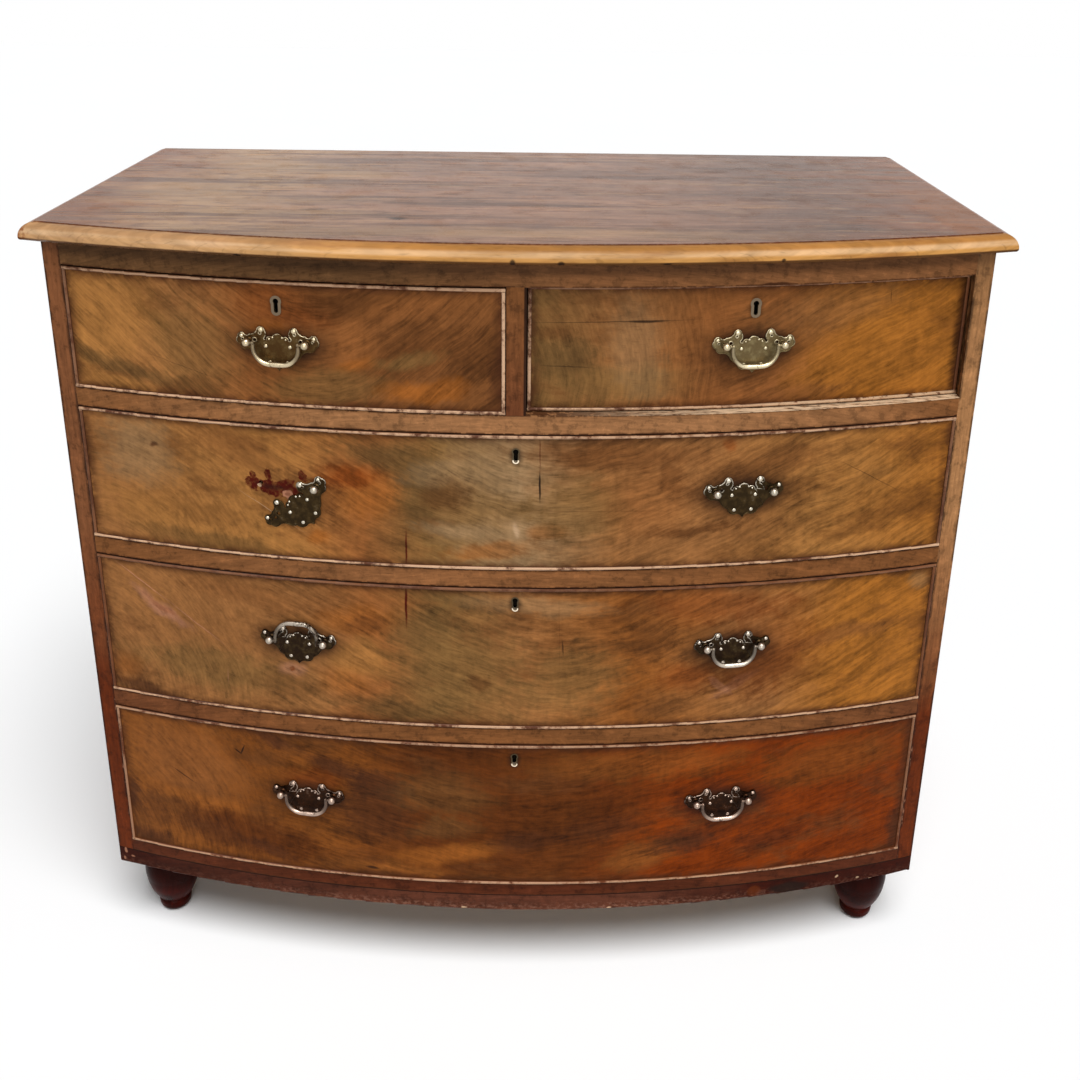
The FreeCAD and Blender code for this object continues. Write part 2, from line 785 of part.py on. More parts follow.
def add_plate(label, handle_x, z, inset, swing):
    """The pierced backplate. A plate that has lost its left post hangs round its right one."""
    body = body_on_bow(label, handle_x, z, inset)
    sketch = new_sketch(body, "XZ_Plane", label + "_outline")
    post = number("post_place")
    turn = math.radians(swing)
    sketch.AttachmentOffset = FreeCAD.Placement(
        FreeCAD.Vector(post * (1 - math.cos(turn)), -post * math.sin(turn), 0),
        FreeCAD.Rotation(FreeCAD.Vector(0, 0, 1), swing),
    )
    for sign in (1, -1):
        last = FreeCAD.Vector(*PLATE_START, 0)
        for through, end in PLATE_HALF:
            middle = FreeCAD.Vector(sign * through[0], through[1], 0)
            stop = FreeCAD.Vector(sign * end[0], end[1], 0)
            sketch.addGeometry(Part.Arc(last, middle, stop))
            last = stop
        holes = PIERCINGS + (((post, 0), number("shank_radius")),)
        for (x, y), radius in holes:
            middle = FreeCAD.Vector(sign * x, y, 0)
            sketch.addGeometry(Part.Circle(middle, FreeCAD.Vector(0, 0, 1), radius))
    pad(body, sketch, "plate_thickness", label + "_pad")
    return body


def add_post(label, handle_x, z, inset, side):
    """A cast post: a threaded shank through the wood, a collar, a neck and a round head, which is
    bored towards the middle of the handle for the bail."""
    body = body_on_bow(label, handle_x, z, inset)
    place = side * number("post_place")
    sketch = new_sketch(body, "XY_Plane", label + "_profile")
    plate = -number("plate_thickness")
    collar = plate - number("collar_thickness")
    reach = -number("post_reach")
    neck = number("neck_radius")
    head = number("head_radius")
    neck_end = reach + math.sqrt(head ** 2 - neck ** 2)
    outline = (
        (0, number("thread_end")),
        (number("shank_radius"), number("thread_end")),
        (number("shank_radius"), plate),
        (number("collar_radius"), plate),
        (number("collar_top_radius"), collar),
        (neck, collar),
        (neck, neck_end),
    )
    points = [FreeCAD.Vector(place + side * x, y, 0) for x, y in outline]
    for start, end in zip(points, points[1:]):
        sketch.addGeometry(Part.LineSegment(start, end))
    tip = FreeCAD.Vector(place, reach - head, 0)
    widest = FreeCAD.Vector(place + side * head, reach, 0)
    sketch.addGeometry(Part.Arc(points[-1], widest, tip))
    axis = Part.LineSegment(tip, points[0])
    sketch.addGeometry(axis)
    turning = body.newObject("PartDesign::Revolution", label + "_turning")
    turning.Profile = sketch
    turning.ReferenceAxis = (sketch, [f"Edge{len(outline) + 1}"])
    turning.Angle = 360
    hole_sketch = new_sketch(body, "YZ_Plane", label + "_pin_hole_outline", f"{side} * post_place")
    hole_sketch.addGeometry(
        Part.Circle(
            FreeCAD.Vector(reach, 0, 0), FreeCAD.Vector(0, 0, 1), number("pin_hole_radius")
        )
    )
    hole_sketch.addConstraint(Sketcher.Constraint("PointOnObject", 0, 3, -1))
    hold(hole_sketch, "DistanceX", 0, 3, "-post_reach")
    hold_radius(hole_sketch, 0, "pin_hole_radius")
    hole = body.newObject("PartDesign::Pocket", label + "_pin_hole")
    hole.Profile = hole_sketch
    hole.Reversed = side < 0
    bind(hole, Length="head_radius + overrun")
    return body


def add_nut(label, handle_x, z, inset, side):
    """A round nut on the inside of the drawer's front."""
    body = body_on_bow(label, handle_x, z, inset)
    sketch = new_sketch(body, "XZ_Plane", label + "_outline", "-front_thickness - nut_gap")
    middle = FreeCAD.Vector(side * number("post_place"), 0, 0)
    for radius in ("nut_radius", "nut_bore_radius"):
        circle = sketch.addGeometry(
            Part.Circle(middle, FreeCAD.Vector(0, 0, 1), number(radius))
        )
        sketch.addConstraint(Sketcher.Constraint("PointOnObject", circle, 3, -1))
        hold(sketch, "DistanceX", circle, 3, f"{side} * post_place")
        hold_radius(sketch, circle, radius)
    pad(body, sketch, "nut_thickness", label + "_pad", reverse=True)
    return body


def add_shank_hole(label, handle_x, z, inset, side):
    body = body_on_bow(label, handle_x, z, inset)
    sketch = new_sketch(body, "XZ_Plane", label + "_outline", "shank_hole_past")
    middle = FreeCAD.Vector(side * number("post_place"), 0, 0)
    sketch.addGeometry(
        Part.Circle(middle, FreeCAD.Vector(0, 0, 1), number("shank_hole_radius"))
    )
    sketch.addConstraint(Sketcher.Constraint("PointOnObject", 0, 3, -1))
    hold(sketch, "DistanceX", 0, 3, f"{side} * post_place")
    hold_radius(sketch, 0, "shank_hole_radius")
    pad(body, sketch, "front_thickness + 2 * shank_hole_past", label + "_pad", reverse=True)
    return body


def add_bail(label, handle_x, z, inset, state):
    """The drop handle: half of it is a rod that swells towards its middle, with a boss and a pin
    at its end, and the other half is its mirror image."""
    lean = "bail_lean" if state == THROWN_UP else "0"
    body = body_on_bow(label, handle_x, z, inset, reach="post_reach", lean=lean)
    half = number("bail_half_width")
    drop = number("bail_drop")
    corner = number("bail_corner")
    path = new_sketch(body, "XZ_Plane", label + "_path")
    turn = FreeCAD.Vector(half, corner - drop, 0)
    bend = FreeCAD.Vector(half - corner, -drop, 0)
    elbow = corner * (1 - math.sqrt(0.5))
    path.addGeometry(Part.LineSegment(FreeCAD.Vector(half, 0, 0), turn))
    path.addGeometry(Part.Arc(turn, FreeCAD.Vector(half - elbow, elbow - drop, 0), bend))
    path.addGeometry(Part.LineSegment(bend, FreeCAD.Vector(0, -drop, 0)))
    end = new_sketch(body, "XY_Plane", label + "_end_section")
    end.addGeometry(
        Part.Circle(
            FreeCAD.Vector(half, 0, 0), FreeCAD.Vector(0, 0, 1), number("bail_end_radius")
        )
    )
    middle = new_sketch(body, "YZ_Plane", label + "_middle_section")
    middle.addGeometry(
        Part.Circle(
            FreeCAD.Vector(0, -drop, 0), FreeCAD.Vector(0, 0, 1), number("bail_middle_radius")
        )
    )
    rod = body.newObject("PartDesign::AdditivePipe", label + "_rod")
    rod.Profile = end
    rod.Spine = (path, ["Edge1", "Edge2", "Edge3"])
    rod.Transformation = "Multisection"
    rod.Sections = [(middle, "")]
    pivot = new_sketch(body, "XZ_Plane", label + "_pivot_profile")
    boss = number("bail_boss_radius")
    reach = number("bail_boss_half")
    pin = number("bail_pin_radius")
    end_x = number("bail_pin_end")
    chamfer = number("bail_boss_chamfer")
    outline = (
        (half - reach, 0), (half - reach, boss - chamfer), (half - reach + chamfer, boss),
        (half + reach - chamfer, boss), (half + reach, boss - chamfer), (half + reach, pin),
        (end_x, pin), (end_x, 0),
    )
    points = [FreeCAD.Vector(x, y, 0) for x, y in outline]
    for start, stop in zip(points, points[1:] + points[:1]):
        pivot.addGeometry(Part.LineSegment(start, stop))
    turning = body.newObject("PartDesign::Revolution", label + "_pivot")
    turning.Profile = pivot
    turning.ReferenceAxis = (pivot, ["H_Axis"])
    turning.Angle = 360
    doc.recompute()
    mirror = body.newObject("PartDesign::Mirrored", label + "_mirror")
    mirror.Originals = [rod, turning]
    mirror.MirrorPlane = (plane_of(body, "YZ_Plane"), [""])
    body.Tip = mirror
    return node(body)


def add_handles(name, drawer):
    """Every handle of a drawer. Returns the holes that its posts need."""
    z = "({0}_floor + {0}_ceiling) / 2 + {0}_handle_rise".format(drawer["level"])
    fittings = []
    holes = []
    for prefix, x, swing, bail in drawer["handles"]:
        label = f"{name}_{prefix}"
        fittings.append(add_plate(label + "plate", x, z, drawer["inset"], swing))
        for side, where in ((-1, "left"), (1, "right")):
            holes.append(add_shank_hole(f"{label}{where}_hole", x, z, drawer["inset"], side))
            if swing and side < 0:
                continue
            fittings.append(add_post(f"{label}{where}_post", x, z, drawer["inset"], side))
            fittings.append(add_nut(f"{label}{where}_nut", x, z, drawer["inset"], side))
        if bail != LOST:
            add_bail(f"{name[:-len('_drawer')]}_{prefix}bail", x, z, drawer["inset"], bail)
    node(group(name + "_handle_mounts", fittings))
    return holes


# ------------------------------------------------------------------ the drawers
def add_tails(name, drawer, x, side):
    """The tails of one side, as the wedges that are cut out of the drawer's front."""
    outer = x[0] if abs(number(x[0])) > abs(number(x[1])) else x[1]
    inset = drawer["inset"]
    tip = bow_y(outer, "-bead_depth", inset) + " + tail_gap"
    low = f"{drawer['level']}_floor + lower_gap + tail_margin"
    high = f"{drawer_top(drawer)} - side_step - tail_margin"
    pitch = f"(({high}) - ({low}) - tail_tip) / {drawer['tails'] - 1}"
    flare = "(tail_tip - tail_root) / 2"
    wedges = []
    for i in range(drawer["tails"]):
        wedge = named("Part::Wedge", f"{name}_{side}_tail_{i + 1}")
        foot = f"{low} + {i} * {pitch}"
        bind(
            wedge,
            Xmin="0", Xmax="lining_thickness", X2min="0", X2max="lining_thickness",
            Ymin="0", Ymax="tail_reach",
            Zmin="0", Zmax="tail_tip", Z2min=flare, Z2max=f"tail_tip - {flare}",
        )
        bind(wedge, **{"Placement.Base.x": x[0], "Placement.Base.y": tip})
        bind(wedge, **{"Placement.Base.z": foot})
        wedges.append(wedge)
    return wedges, tip


def add_front_blank(name, drawer, x, z):
    """A bowed front, rebated all round for the cockbead."""
    body = named("PartDesign::Body", name + "_front_blank")
    inset = drawer["inset"]
    inner_x = (f"{x[0]} + bead_width", f"{x[1]} - bead_width")
    inner_z = (f"{z[0]} + bead_width", f"{z[1]} - bead_width")
    bowed_pad(
        body, name + "_front_back", x, z, "-bead_depth", back="-front_thickness", inset=inset
    )
    bowed_pad(
        body, name + "_front_face", inner_x, inner_z, "0", back="-bead_depth - overrun",
        inset=inset,
    )
    return body


def add_cockbead(name, drawer, x, z):
    """Four rounded strips that stand proud of the front's edges."""
    inset = drawer["inset"]
    strips = (
        ("upper", x, (f"{z[1]} - bead_width", z[1])),
        ("lower", x, (z[0], f"{z[0]} + bead_width")),
        ("left", (x[0], f"{x[0]} + bead_width"), (f"{z[0]} + bead_width", f"{z[1]} - bead_width")),
        ("right", (f"{x[1]} - bead_width", x[1]), (f"{z[0]} + bead_width", f"{z[1]} - bead_width")),
    )
    on_nose = lies_on_curve("bead_proud", inset)
    beads = []
    for side, span, height in strips:
        body = named("PartDesign::Body", f"{name}_{side}_bead")
        strip = bowed_pad(
            body, f"{name}_{side}_strip", span, height, "bead_proud", back="-bead_depth",
            inset=inset,
        )
        level = side in ("upper", "lower")

        def along(edge, level=level):
            flat = abs(edge.Vertexes[0].Point.z - edge.Vertexes[-1].Point.z) < 0.01
            return flat == level and on_nose(edge)

        round_edges(body, strip, "bead_round", along, f"{name}_{side}_round")
        beads.append(body)
    return group(name + "_cockbead", beads)


def add_drawer(name, drawer):
    inset = drawer["inset"]
    x = (f"{drawer['ends'][0]} + end_gap", f"{drawer['ends'][1]} - end_gap")
    z = (f"{drawer['level']}_floor + lower_gap", drawer_top(drawer))
    left = (f"{x[0]} + lining_play", f"{x[0]} + lining_play + lining_thickness")
    right = (f"{x[1]} - lining_play - lining_thickness", f"{x[1]} - lining_play")
    rear = f"inner_back - back_clearance + {inset}"
    board_z = (f"{z[0]} + bottom_lift", f"{z[0]} + bottom_lift + bottom_thickness")
    bottom = bowed(
        name + "_bottom", (f"{left[1]} - groove_depth", f"{right[0]} + groove_depth"), board_z,
        "-front_thickness + groove_depth", back_plane=rear, inset=inset,
    )
    tails_left, tip_left = add_tails(name, drawer, left, "left")
    tails_right, tip_right = add_tails(name, drawer, right, "right")
    cutters = tails_left + tails_right + [bottom]
    cutters += add_lock(name, drawer)
    cutters += add_handles(name, drawer)
    front = cut(name + "_front", add_front_blank(name, drawer, x, z), cutters)
    node(front)
    node(add_cockbead(name, drawer, x, z))
    sides = []
    for side, span, tip in (("left", left, tip_left), ("right", right, tip_right)):
        blank = block(
            f"{name}_{side}_side_blank", span, (tip, rear), (z[0], f"{z[1]} - side_step")
        )
        sides.append(cut(f"{name}_{side}_side", blank, [front, bottom]))
    back = block(
        name + "_back", (left[1], right[0]), (f"{rear} - lining_thickness", rear),
        (board_z[1], f"{z[1]} - back_step"),
    )
    node(group(name + "_box", sides + [back]))
    node(bottom)


# ------------------------------------------------------------------ build, test and write
def check():
    """Stops the build if any object failed, or if a sub-part has no valid solid."""
    for item in doc.Objects:
        if {"Invalid", "Error"} & set(item.State):
            raise RuntimeError(f"{item.Label} failed to build: {item.State}")
    labels = [item.Label for item in nodes]
    if len(set(labels)) != len(labels):
        raise RuntimeError("two sub-parts have the same name")
    for item in nodes:
        if item.Shape.isNull() or not item.Shape.isValid() or not item.Shape.Solids:
            raise RuntimeError(f"{item.Label} has no valid solid")


def main():
    fill_sheet()
    add_case()
    add_back()
    for label, place in FEET.items():
        add_foot(label, place)
    add_inner_strips()
    for name, drawer in DRAWERS.items():
        add_drawer(name, drawer)
    doc.recompute()
    check()
    os.makedirs("parts", exist_ok=True)
    for item in nodes:
        item.Shape.exportStep(f"parts/{item.Label}.step")
    print(len(nodes), "sub-parts written")


main()
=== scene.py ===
import math
import random

import bmesh
import bpy
from mathutils import Matrix, Vector


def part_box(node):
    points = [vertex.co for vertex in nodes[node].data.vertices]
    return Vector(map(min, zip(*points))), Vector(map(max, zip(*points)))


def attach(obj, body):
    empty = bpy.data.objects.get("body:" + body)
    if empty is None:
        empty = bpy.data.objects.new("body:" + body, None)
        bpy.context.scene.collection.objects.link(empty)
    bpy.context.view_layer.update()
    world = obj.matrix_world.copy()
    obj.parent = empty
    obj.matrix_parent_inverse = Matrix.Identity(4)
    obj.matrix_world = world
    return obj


# The looks of an old bow front chest of drawers: figured and faded mahogany fronts, worn cockbeads,
# a polished top with a golden moulding, a dark red plinth, and tarnished brass handles.
# Metres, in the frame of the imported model. Every wood and metal is a tree of nodes that reads
# only the place on the piece, so a finish moves with its drawer.

MM = 0.001
# A blot's half size along the axis on which it goes right through the piece.
THROUGH = 100

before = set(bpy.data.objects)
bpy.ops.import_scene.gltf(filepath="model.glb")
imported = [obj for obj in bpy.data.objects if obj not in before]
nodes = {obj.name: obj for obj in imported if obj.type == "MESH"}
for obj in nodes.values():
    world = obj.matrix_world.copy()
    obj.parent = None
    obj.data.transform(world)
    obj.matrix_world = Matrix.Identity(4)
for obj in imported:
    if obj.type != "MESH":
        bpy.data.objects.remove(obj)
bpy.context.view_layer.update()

# ---- the tones of the finishes
def rgb(*thousandths):
    """A linear colour, from thousandths of red, green and blue."""
    return tuple(share / 1000 for share in thousandths)


GOLD = rgb(290, 125, 32)
HONEY = rgb(275, 98, 14)
TAN = rgb(235, 98, 30)
RUSSET = rgb(215, 76, 20)
ORANGE = rgb(260, 80, 12)
CHESTNUT = rgb(160, 58, 16)
UMBER = rgb(85, 30, 8)
OLIVE = rgb(165, 83, 25)
MOSS = rgb(95, 50, 16)
HAZE = rgb(250, 150, 70)
AMBER = rgb(205, 66, 12)
CEDAR = rgb(165, 34, 4)
BARK = rgb(85, 22, 3.5)
EMBER = rgb(148, 24, 1)
RUST = rgb(150, 45, 7)
# A dark brown for dirt, also used as painted shade along edges and under the moulding.
SOOT_AND_SHADE = rgb(50, 16, 6)
INK = rgb(12, 6, 4)
GHOST = rgb(56, 5, 2)
PINK = rgb(340, 150, 85)
# Pale bare wood where chipped; also a painted highlight towards the left of the moulding.
CHIP_AND_HIGHLIGHT = rgb(500, 330, 200)
# Pale worn wood; also a painted highlight along the moulding's nose.
SCUFF_AND_HIGHLIGHT = rgb(660, 470, 300)
# The top rail's dark tone is partly painted shadow under the moulding; the back boards use it for their
# darker rings.
DARK_TONE_AND_RAIL_SHADOW = rgb(128, 60, 23)
RAIL_BROWN = rgb(165, 62, 19)
RAIL_ROSE = rgb(265, 120, 48)
RAIL_RED = rgb(120, 38, 14)
RAIL_MID = rgb(215, 88, 32)
RAIL_LOW = rgb(76, 18, 6)
STILE_PALE = rgb(300, 142, 56)
STILE_BROWN = rgb(175, 64, 24)
STILE_RED = rgb(100, 18, 3)
PLINTH = rgb(30, 4, 1)
PLINTH_MID = rgb(85, 26, 13)
PLINTH_WORN = rgb(170, 75, 48)
FOOT = rgb(17, 3, 2)
FOOT_RED = rgb(42, 3, 1)
BEAD = rgb(145, 52, 20)
BEAD_DARK = rgb(85, 30, 14)
BEAD_WORN = rgb(520, 325, 200)
TOP_PLUM = rgb(264, 134, 82)
TOP_DARK = rgb(128, 58, 33)
# Pale bloom in the top's polish; towards the back left it is also painted sheen.
TOP_BLOOM_AND_SHEEN = rgb(350, 200, 100)
TOP_RED = rgb(205, 68, 22)
MOULDING = rgb(440, 215, 60)
SIDE = rgb(190, 70, 25)
OAK = rgb(400, 255, 130)
OAK_DARK = rgb(245, 145, 70)
PINE = rgb(430, 280, 140)
PINE_DARK = rgb(240, 140, 65)
LOCK = rgb(220, 160, 85)
LOCK_DARK = rgb(90, 60, 30)
# Near black: painted shade inside the keyhole.
KEYHOLE_SHADE = rgb(6, 5, 4)
PLAIN_RIM = rgb(150, 110, 75)
LINER_RIM = rgb(50, 35, 20)
# The liner's pale lower end inside the hole is a painted highlight.
LINER = rgb(800, 680, 520)
IRON = rgb(55, 45, 40)
IRON_RUST = rgb(130, 50, 20)
PAPER = rgb(915, 920, 925)
WHITE = (1, 1, 1)


# ---- materials as arithmetic
class Wire:
    """A value on its way through a tree of nodes. Arithmetic on it adds Math nodes."""

    def __init__(self, tree, socket):
        self.tree = tree
        self.socket = socket

    def __add__(self, other):
        return self.tree.math("ADD", self, other)

    def __sub__(self, other):
        return self.tree.math("SUBTRACT", self, other)

    def __mul__(self, other):
        return self.tree.math("MULTIPLY", self, other)

    def __rsub__(self, other):
        return self.tree.math("SUBTRACT", other, self)

    def __abs__(self):
        return self.tree.math("ABSOLUTE", self)

    __radd__ = __add__
    __rmul__ = __mul__

    def step(self, low, high, bottom=0, top=1):
        """Goes smoothly from bottom at low to top at high. low may be the larger of the two."""
        return self.tree.wire("MapRange", self, low, high, bottom, top,
                              interpolation_type="SMOOTHSTEP")

    def band(self, middle, half, soft):
        """1 within half of the middle, 0 beyond a soft edge."""
        return abs(self - middle).step(half, half + soft, 1, 0)


class Tree:
    """The nodes of a material or a world."""

    def __init__(self, owner):
        owner.use_nodes = True
        self.owner = owner
        self.nodes = owner.node_tree.nodes
        self.links = owner.node_tree.links
        self.nodes.clear()

    def feed(self, socket, value):
        if isinstance(value, Wire):
            self.links.new(value.socket, socket)
        elif value is not None:
            socket.default_value = (*value, 1) if socket.type == "RGBA" else value

    def add(self, kind, *inputs, **settings):
        """A node whose first inputs are these wires or plain values. None leaves one out."""
        node = self.nodes.new("ShaderNode" + kind)
        for setting, value in settings.items():
            setattr(node, setting, value)
        for socket, value in zip(node.inputs, inputs):
            self.feed(socket, value)
        return node

    def wire(self, kind, *inputs, output=0, **settings):
        """What comes out of such a node."""
        return Wire(self, self.add(kind, *inputs, **settings).outputs[output])

    def named(self, kind, inputs):
        """What comes out of a node whose inputs are given by their names."""
        node = self.add(kind)
        for name, value in inputs.items():
            self.feed(node.inputs[name], value)
        return Wire(self, node.outputs[0])

    def math(self, operation, *values):
        return self.wire("Math", *values, operation=operation)

    def vectors(self, operation, *values, output=0):
        return self.wire("VectorMath", *values, operation=operation, output=output)


class Graph(Tree):
    """The tree of one material, with the piece's own x, y and z to start from, and the colour
    that it has so far."""

    def __init__(self, name):
        super().__init__(bpy.data.materials.new(name))
        self.place = self.wire("TexCoord", output="Object")
        self.x, self.y, self.z = self.split(self.place)
        self.seeds = random.Random(name)
        self.colour = None

    def split(self, vector):
        return [Wire(self, out) for out in self.add("SeparateXYZ", vector).outputs]

    def root(self, first, second):
        """The root of the sum of two values' squares."""
        return self.math("SQRT", first * first + second * second)

    def scaled(self, vector, share):
        return self.vectors("SCALE", vector, None, None, share)

    def noise(self, scale, detail=3, roughness=0.55, vector=None, output=0):
        """Noise from 0 to 1 about a half. Its output 1 is three of them, as a colour."""
        shift = [self.seeds.uniform(-50, 50) for _ in range(3)]
        moved = self.vectors("ADD", vector or self.place, shift)
        return self.wire("TexNoise", moved, None, scale, detail, roughness,
                         output=output, noise_dimensions="3D")

    def streaks(self, x, y, z=0, detail=3, roughness=0.55, scale=1):
        """Noise that is drawn out along the axes on which the place has been squeezed."""
        squeezed = self.wire("CombineXYZ", x, y, z)
        return self.noise(scale, detail, roughness, squeezed)

    def warped(self, scale, reach):
        """The place on the piece, pushed about by noise as far as reach."""
        push = self.noise(scale, output=1)
        centred = self.vectors("SUBTRACT", push, (0.5, 0.5, 0.5))
        return self.vectors("ADD", self.place, self.scaled(centred, 2 * reach))

    def away(self, vector, centre, sizes, tilt=0):
        """How far a point is from the centre, in shares of an ellipsoid's half sizes."""
        inside = self.wire("Mapping", vector, centre, (0, -math.radians(tilt), 0),
                           sizes, vector_type="TEXTURE")
        return self.vectors("LENGTH", inside, output="Value")

    def blot(self, vector, x, z, width, height, tilt=0, edge=0.6, ragged=0):
        """1 inside an ellipse on the front, 0 outside. edge is how soft it is, as a share of it,
        and ragged pushes its outline in and out."""
        away = self.away(vector, (x, 0, z), (width, THROUGH, height), tilt)
        return (away + ragged).step(1 - edge, 1 + edge, 1, 0)

    def mix(self, first, second, share):
        return self.wire("Mix", share, *[None] * 5, first, second, output=2, data_type="RGBA")

    def ramp(self, value, stops):
        """A colour that goes through the stops, each a percentage and a tone."""
        node = self.add("ValToRGB", value)
        elements = node.color_ramp.elements
        while len(elements) < len(stops):
            elements.new(0.5)
        for element, (percent, tone) in zip(elements, stops):
            element.position = percent / 100
            element.color = (*tone, 1)
        return Wire(self, node.outputs[0])

    def coat(self, tone, share):
        """Lays a share of a tone over the colour."""
        self.colour = self.mix(self.colour, tone, share)

    def shade(self, share):
        """Darkens or lightens the colour."""
        self.colour = self.scaled(self.colour, share)

    def finish(self, roughness, height=None, depth=0, specular=0.035, metallic=0):
        """Ends the tree in its shader. height is bumped by depth metres."""
        inputs = {"Base Color": self.colour, "Roughness": roughness,
                  "Specular IOR Level": specular, "Metallic": metallic}
        if height is not None:
            bump = {"Strength": 1, "Distance": depth, "Height": height}
            inputs["Normal"] = self.named("Bump", bump)
        self.add("OutputMaterial", self.named("BsdfPrincipled", inputs))
        return self.owner


def paint(name, material):
    """Gives a CAD node its finish."""
    slots = nodes[name].data.materials
    slots.clear()
    slots.append(material)


# ---- the bow
def measure_bow():
    """The front's radius and the y of its centre, from a rail's middle and a stile's inner edge."""
    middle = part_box("bottom_rail")[0].y
    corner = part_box("right_stile")[0]
    rise = corner.y - middle
    radius = (corner.x ** 2 + rise ** 2) / (2 * rise)
    return radius, middle + radius


BOW_RADIUS, BOW_CENTRE = measure_bow()


def bow_y(x):
    return BOW_CENTRE - math.sqrt(BOW_RADIUS ** 2 - x ** 2)


def inset_of(drawer):
    """How far a drawer's front stands behind the case's bow."""
    low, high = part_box(drawer + "_front")
    nearest = min(abs(low.x), abs(high.x)) if low.x * high.x > 0 else 0
    return low.y - bow_y(nearest)


def points_proud_of(node, drawer, limit):
    """The points of a node that stand in front of a drawer's bow by more than the limit."""
    centre = BOW_CENTRE + inset_of(drawer)
    return [v.co for v in nodes[node].data.vertices
            if math.hypot(v.co.x, v.co.y - centre) - BOW_RADIUS > limit]


def keyhole_of(drawer):
    """The low and high corner of what shows of a drawer's lock in the face of its front."""
    points = points_proud_of(drawer + "_lock", drawer, -0.6 * MM)
    return tuple(Vector(pick(axis) for axis in zip(*points)) for pick in (min, max))


def proud(graph, inset=0):
    """How far a point stands in front of the bow, in metres."""
    return graph.root(graph.x, graph.y - (BOW_CENTRE + inset)) - BOW_RADIUS


# ---- wood
def grain(graph, across, along, bands=38, lines=330):
    """Figure that runs where across is constant: flames, streaks and fine lines. -0.5 to 0.5."""
    value = -0.5
    for stretch, width, share, detail in (
        (7, bands, 0.44, 4), (27, bands * 4.5, 0.34, 3), (70, lines, 0.22, 2)
    ):
        layer = graph.streaks(along * stretch, across * width, 0, detail, 0.6)
        value = layer.step(0.34, 0.66, 0, share) + value
    return value


def pores(graph, across, along):
    """Short dark pores along the grain, 0 to 1."""
    return graph.streaks(along * 75, across * 1150, 0, 1, 0.5).step(0.6, 0.74)


def polished(graph, value, pore, gloss=0.36, contrast=0.6):
    """Old polish over the grain: the grain darkens and lightens the colour."""
    graph.shade(1 + value * contrast - pore * 0.2)
    wear = graph.noise(22, 4)
    roughness = gloss + (wear - 0.5) * 0.22 + pore * 0.12
    return graph.finish(roughness, value - pore * 0.6, 0.12 * MM)


# ---- the drawers
# Places are in percent of half the front's width and height, from its middle, and strengths are
# in percent too. ground is the wood's tone from left to right. feather is where the figure meets,
# and how steeply it rises to both sides. arcs is the centre of round figure at the left, and how
# far right it reaches. bead is how pale the cockbead is rubbed along its top, bottom, left and
# right. brass is the plates' dark tone, the bright tone that their castings are rubbed to and
# painted with as highlight, and the bloom that some of it has kept. handles is how far they stand
# from the front's middle, in metres.
# A blot is a tone, a place, half its width and height in millimetres, its tilt, its strength, and
# how soft its edge is if not SOFT. A mark is a thin line: a tone, its two ends, half its thickness
# in millimetres and its strength.
SOFT, CRISP = 70, 18
DRAWERS = {}
DRAWERS["short_left_drawer"] = dict(
    ground=[(0, GOLD), (28, TAN), (44, RUSSET), (58, CHESTNUT), (100, CHESTNUT)],
    feather=(15, 0.95), arcs=None, contrast=0.8, bead=(70, 100, 15, 100),
    brass=(rgb(60, 30, 10), rgb(600, 500, 330), rgb(94, 56, 20)), handles=(0,),
    blots=[
        (GOLD, -78, 35, 55, 45, 0, 70), (MOSS, -72, -60, 75, 11, -14, 65),
        (GOLD, -80, -86, 60, 9, -6, 70), (UMBER, -42, -84, 42, 14, 8, 70),
        (OLIVE, -40, -10, 50, 45, -30, 50), (CEDAR, 3, 62, 50, 26, -8, 40),
        (ORANGE, -3, 26, 22, 11, 0, 75), (UMBER, 30, 72, 60, 18, -6, 75), (RUSSET, 62, 70, 55, 16, 8, 60),
        (UMBER, 62, -5, 75, 36, 12, 50), (RUSSET, 34, 5, 22, 26, 0, 60), (ORANGE, 34, -28, 18, 7, 12, 55),
        (OLIVE, 57, -16, 34, 9, 10, 75), (UMBER, 90, -5, 30, 26, 0, 75), (OLIVE, 20, -70, 60, 20, 6, 60),
        (ORANGE, 64, -66, 42, 13, 5, 75, 50), (SOOT_AND_SHADE, 97, -50, 12, 40, 0, 50),
    ],
    marks=[(INK, -62, -30, -30, -62, 0.5, 35)],
)
DRAWERS["short_right_drawer"] = dict(
    ground=[(0, OLIVE), (20, TAN), (42, RUSSET), (55, RUSSET), (75, HONEY), (100, HONEY)],
    feather=(-50, 0.55), arcs=(-130, -45, -14), contrast=0.8, bead=(25, 100, 95, 0),
    brass=(rgb(115, 80, 36), rgb(620, 530, 350), rgb(180, 138, 66)), handles=(0,),
    blots=[
        (MOSS, -82, -18, 32, 24, 20, 75), (OLIVE, -60, -55, 75, 22, 4, 75),
        (UMBER, -88, 30, 24, 9, 0, 50), (HAZE, -52, 5, 30, 55, 12, 35), (RUSSET, 2, 62, 62, 32, 0, 85),
        (CHESTNUT, -12, -35, 52, 34, 30, 70), (UMBER, 0, -25, 52, 26, 0, 50),
        # The ink blot at the right end is painted shade, where the drawer stands back from the stile.
        (TAN, 35, 55, 75, 26, 12, 50), (HONEY, 60, -30, 90, 40, 14, 80), (INK, 100, 0, 11, 90, 0, 85),
        (CHESTNUT, 15, -85, 60, 12, 6, 60),
    ],
    marks=[
        (INK, -96, 42, -30, 45, 0.6, 55), (INK, -56, 43.5, -40, 44, 1.6, 80),
        (INK, -93, -26, -72, -30, 0.7, 50), (SOOT_AND_SHADE, 62, 80, 62.5, 62, 0.6, 60),
    ],
)
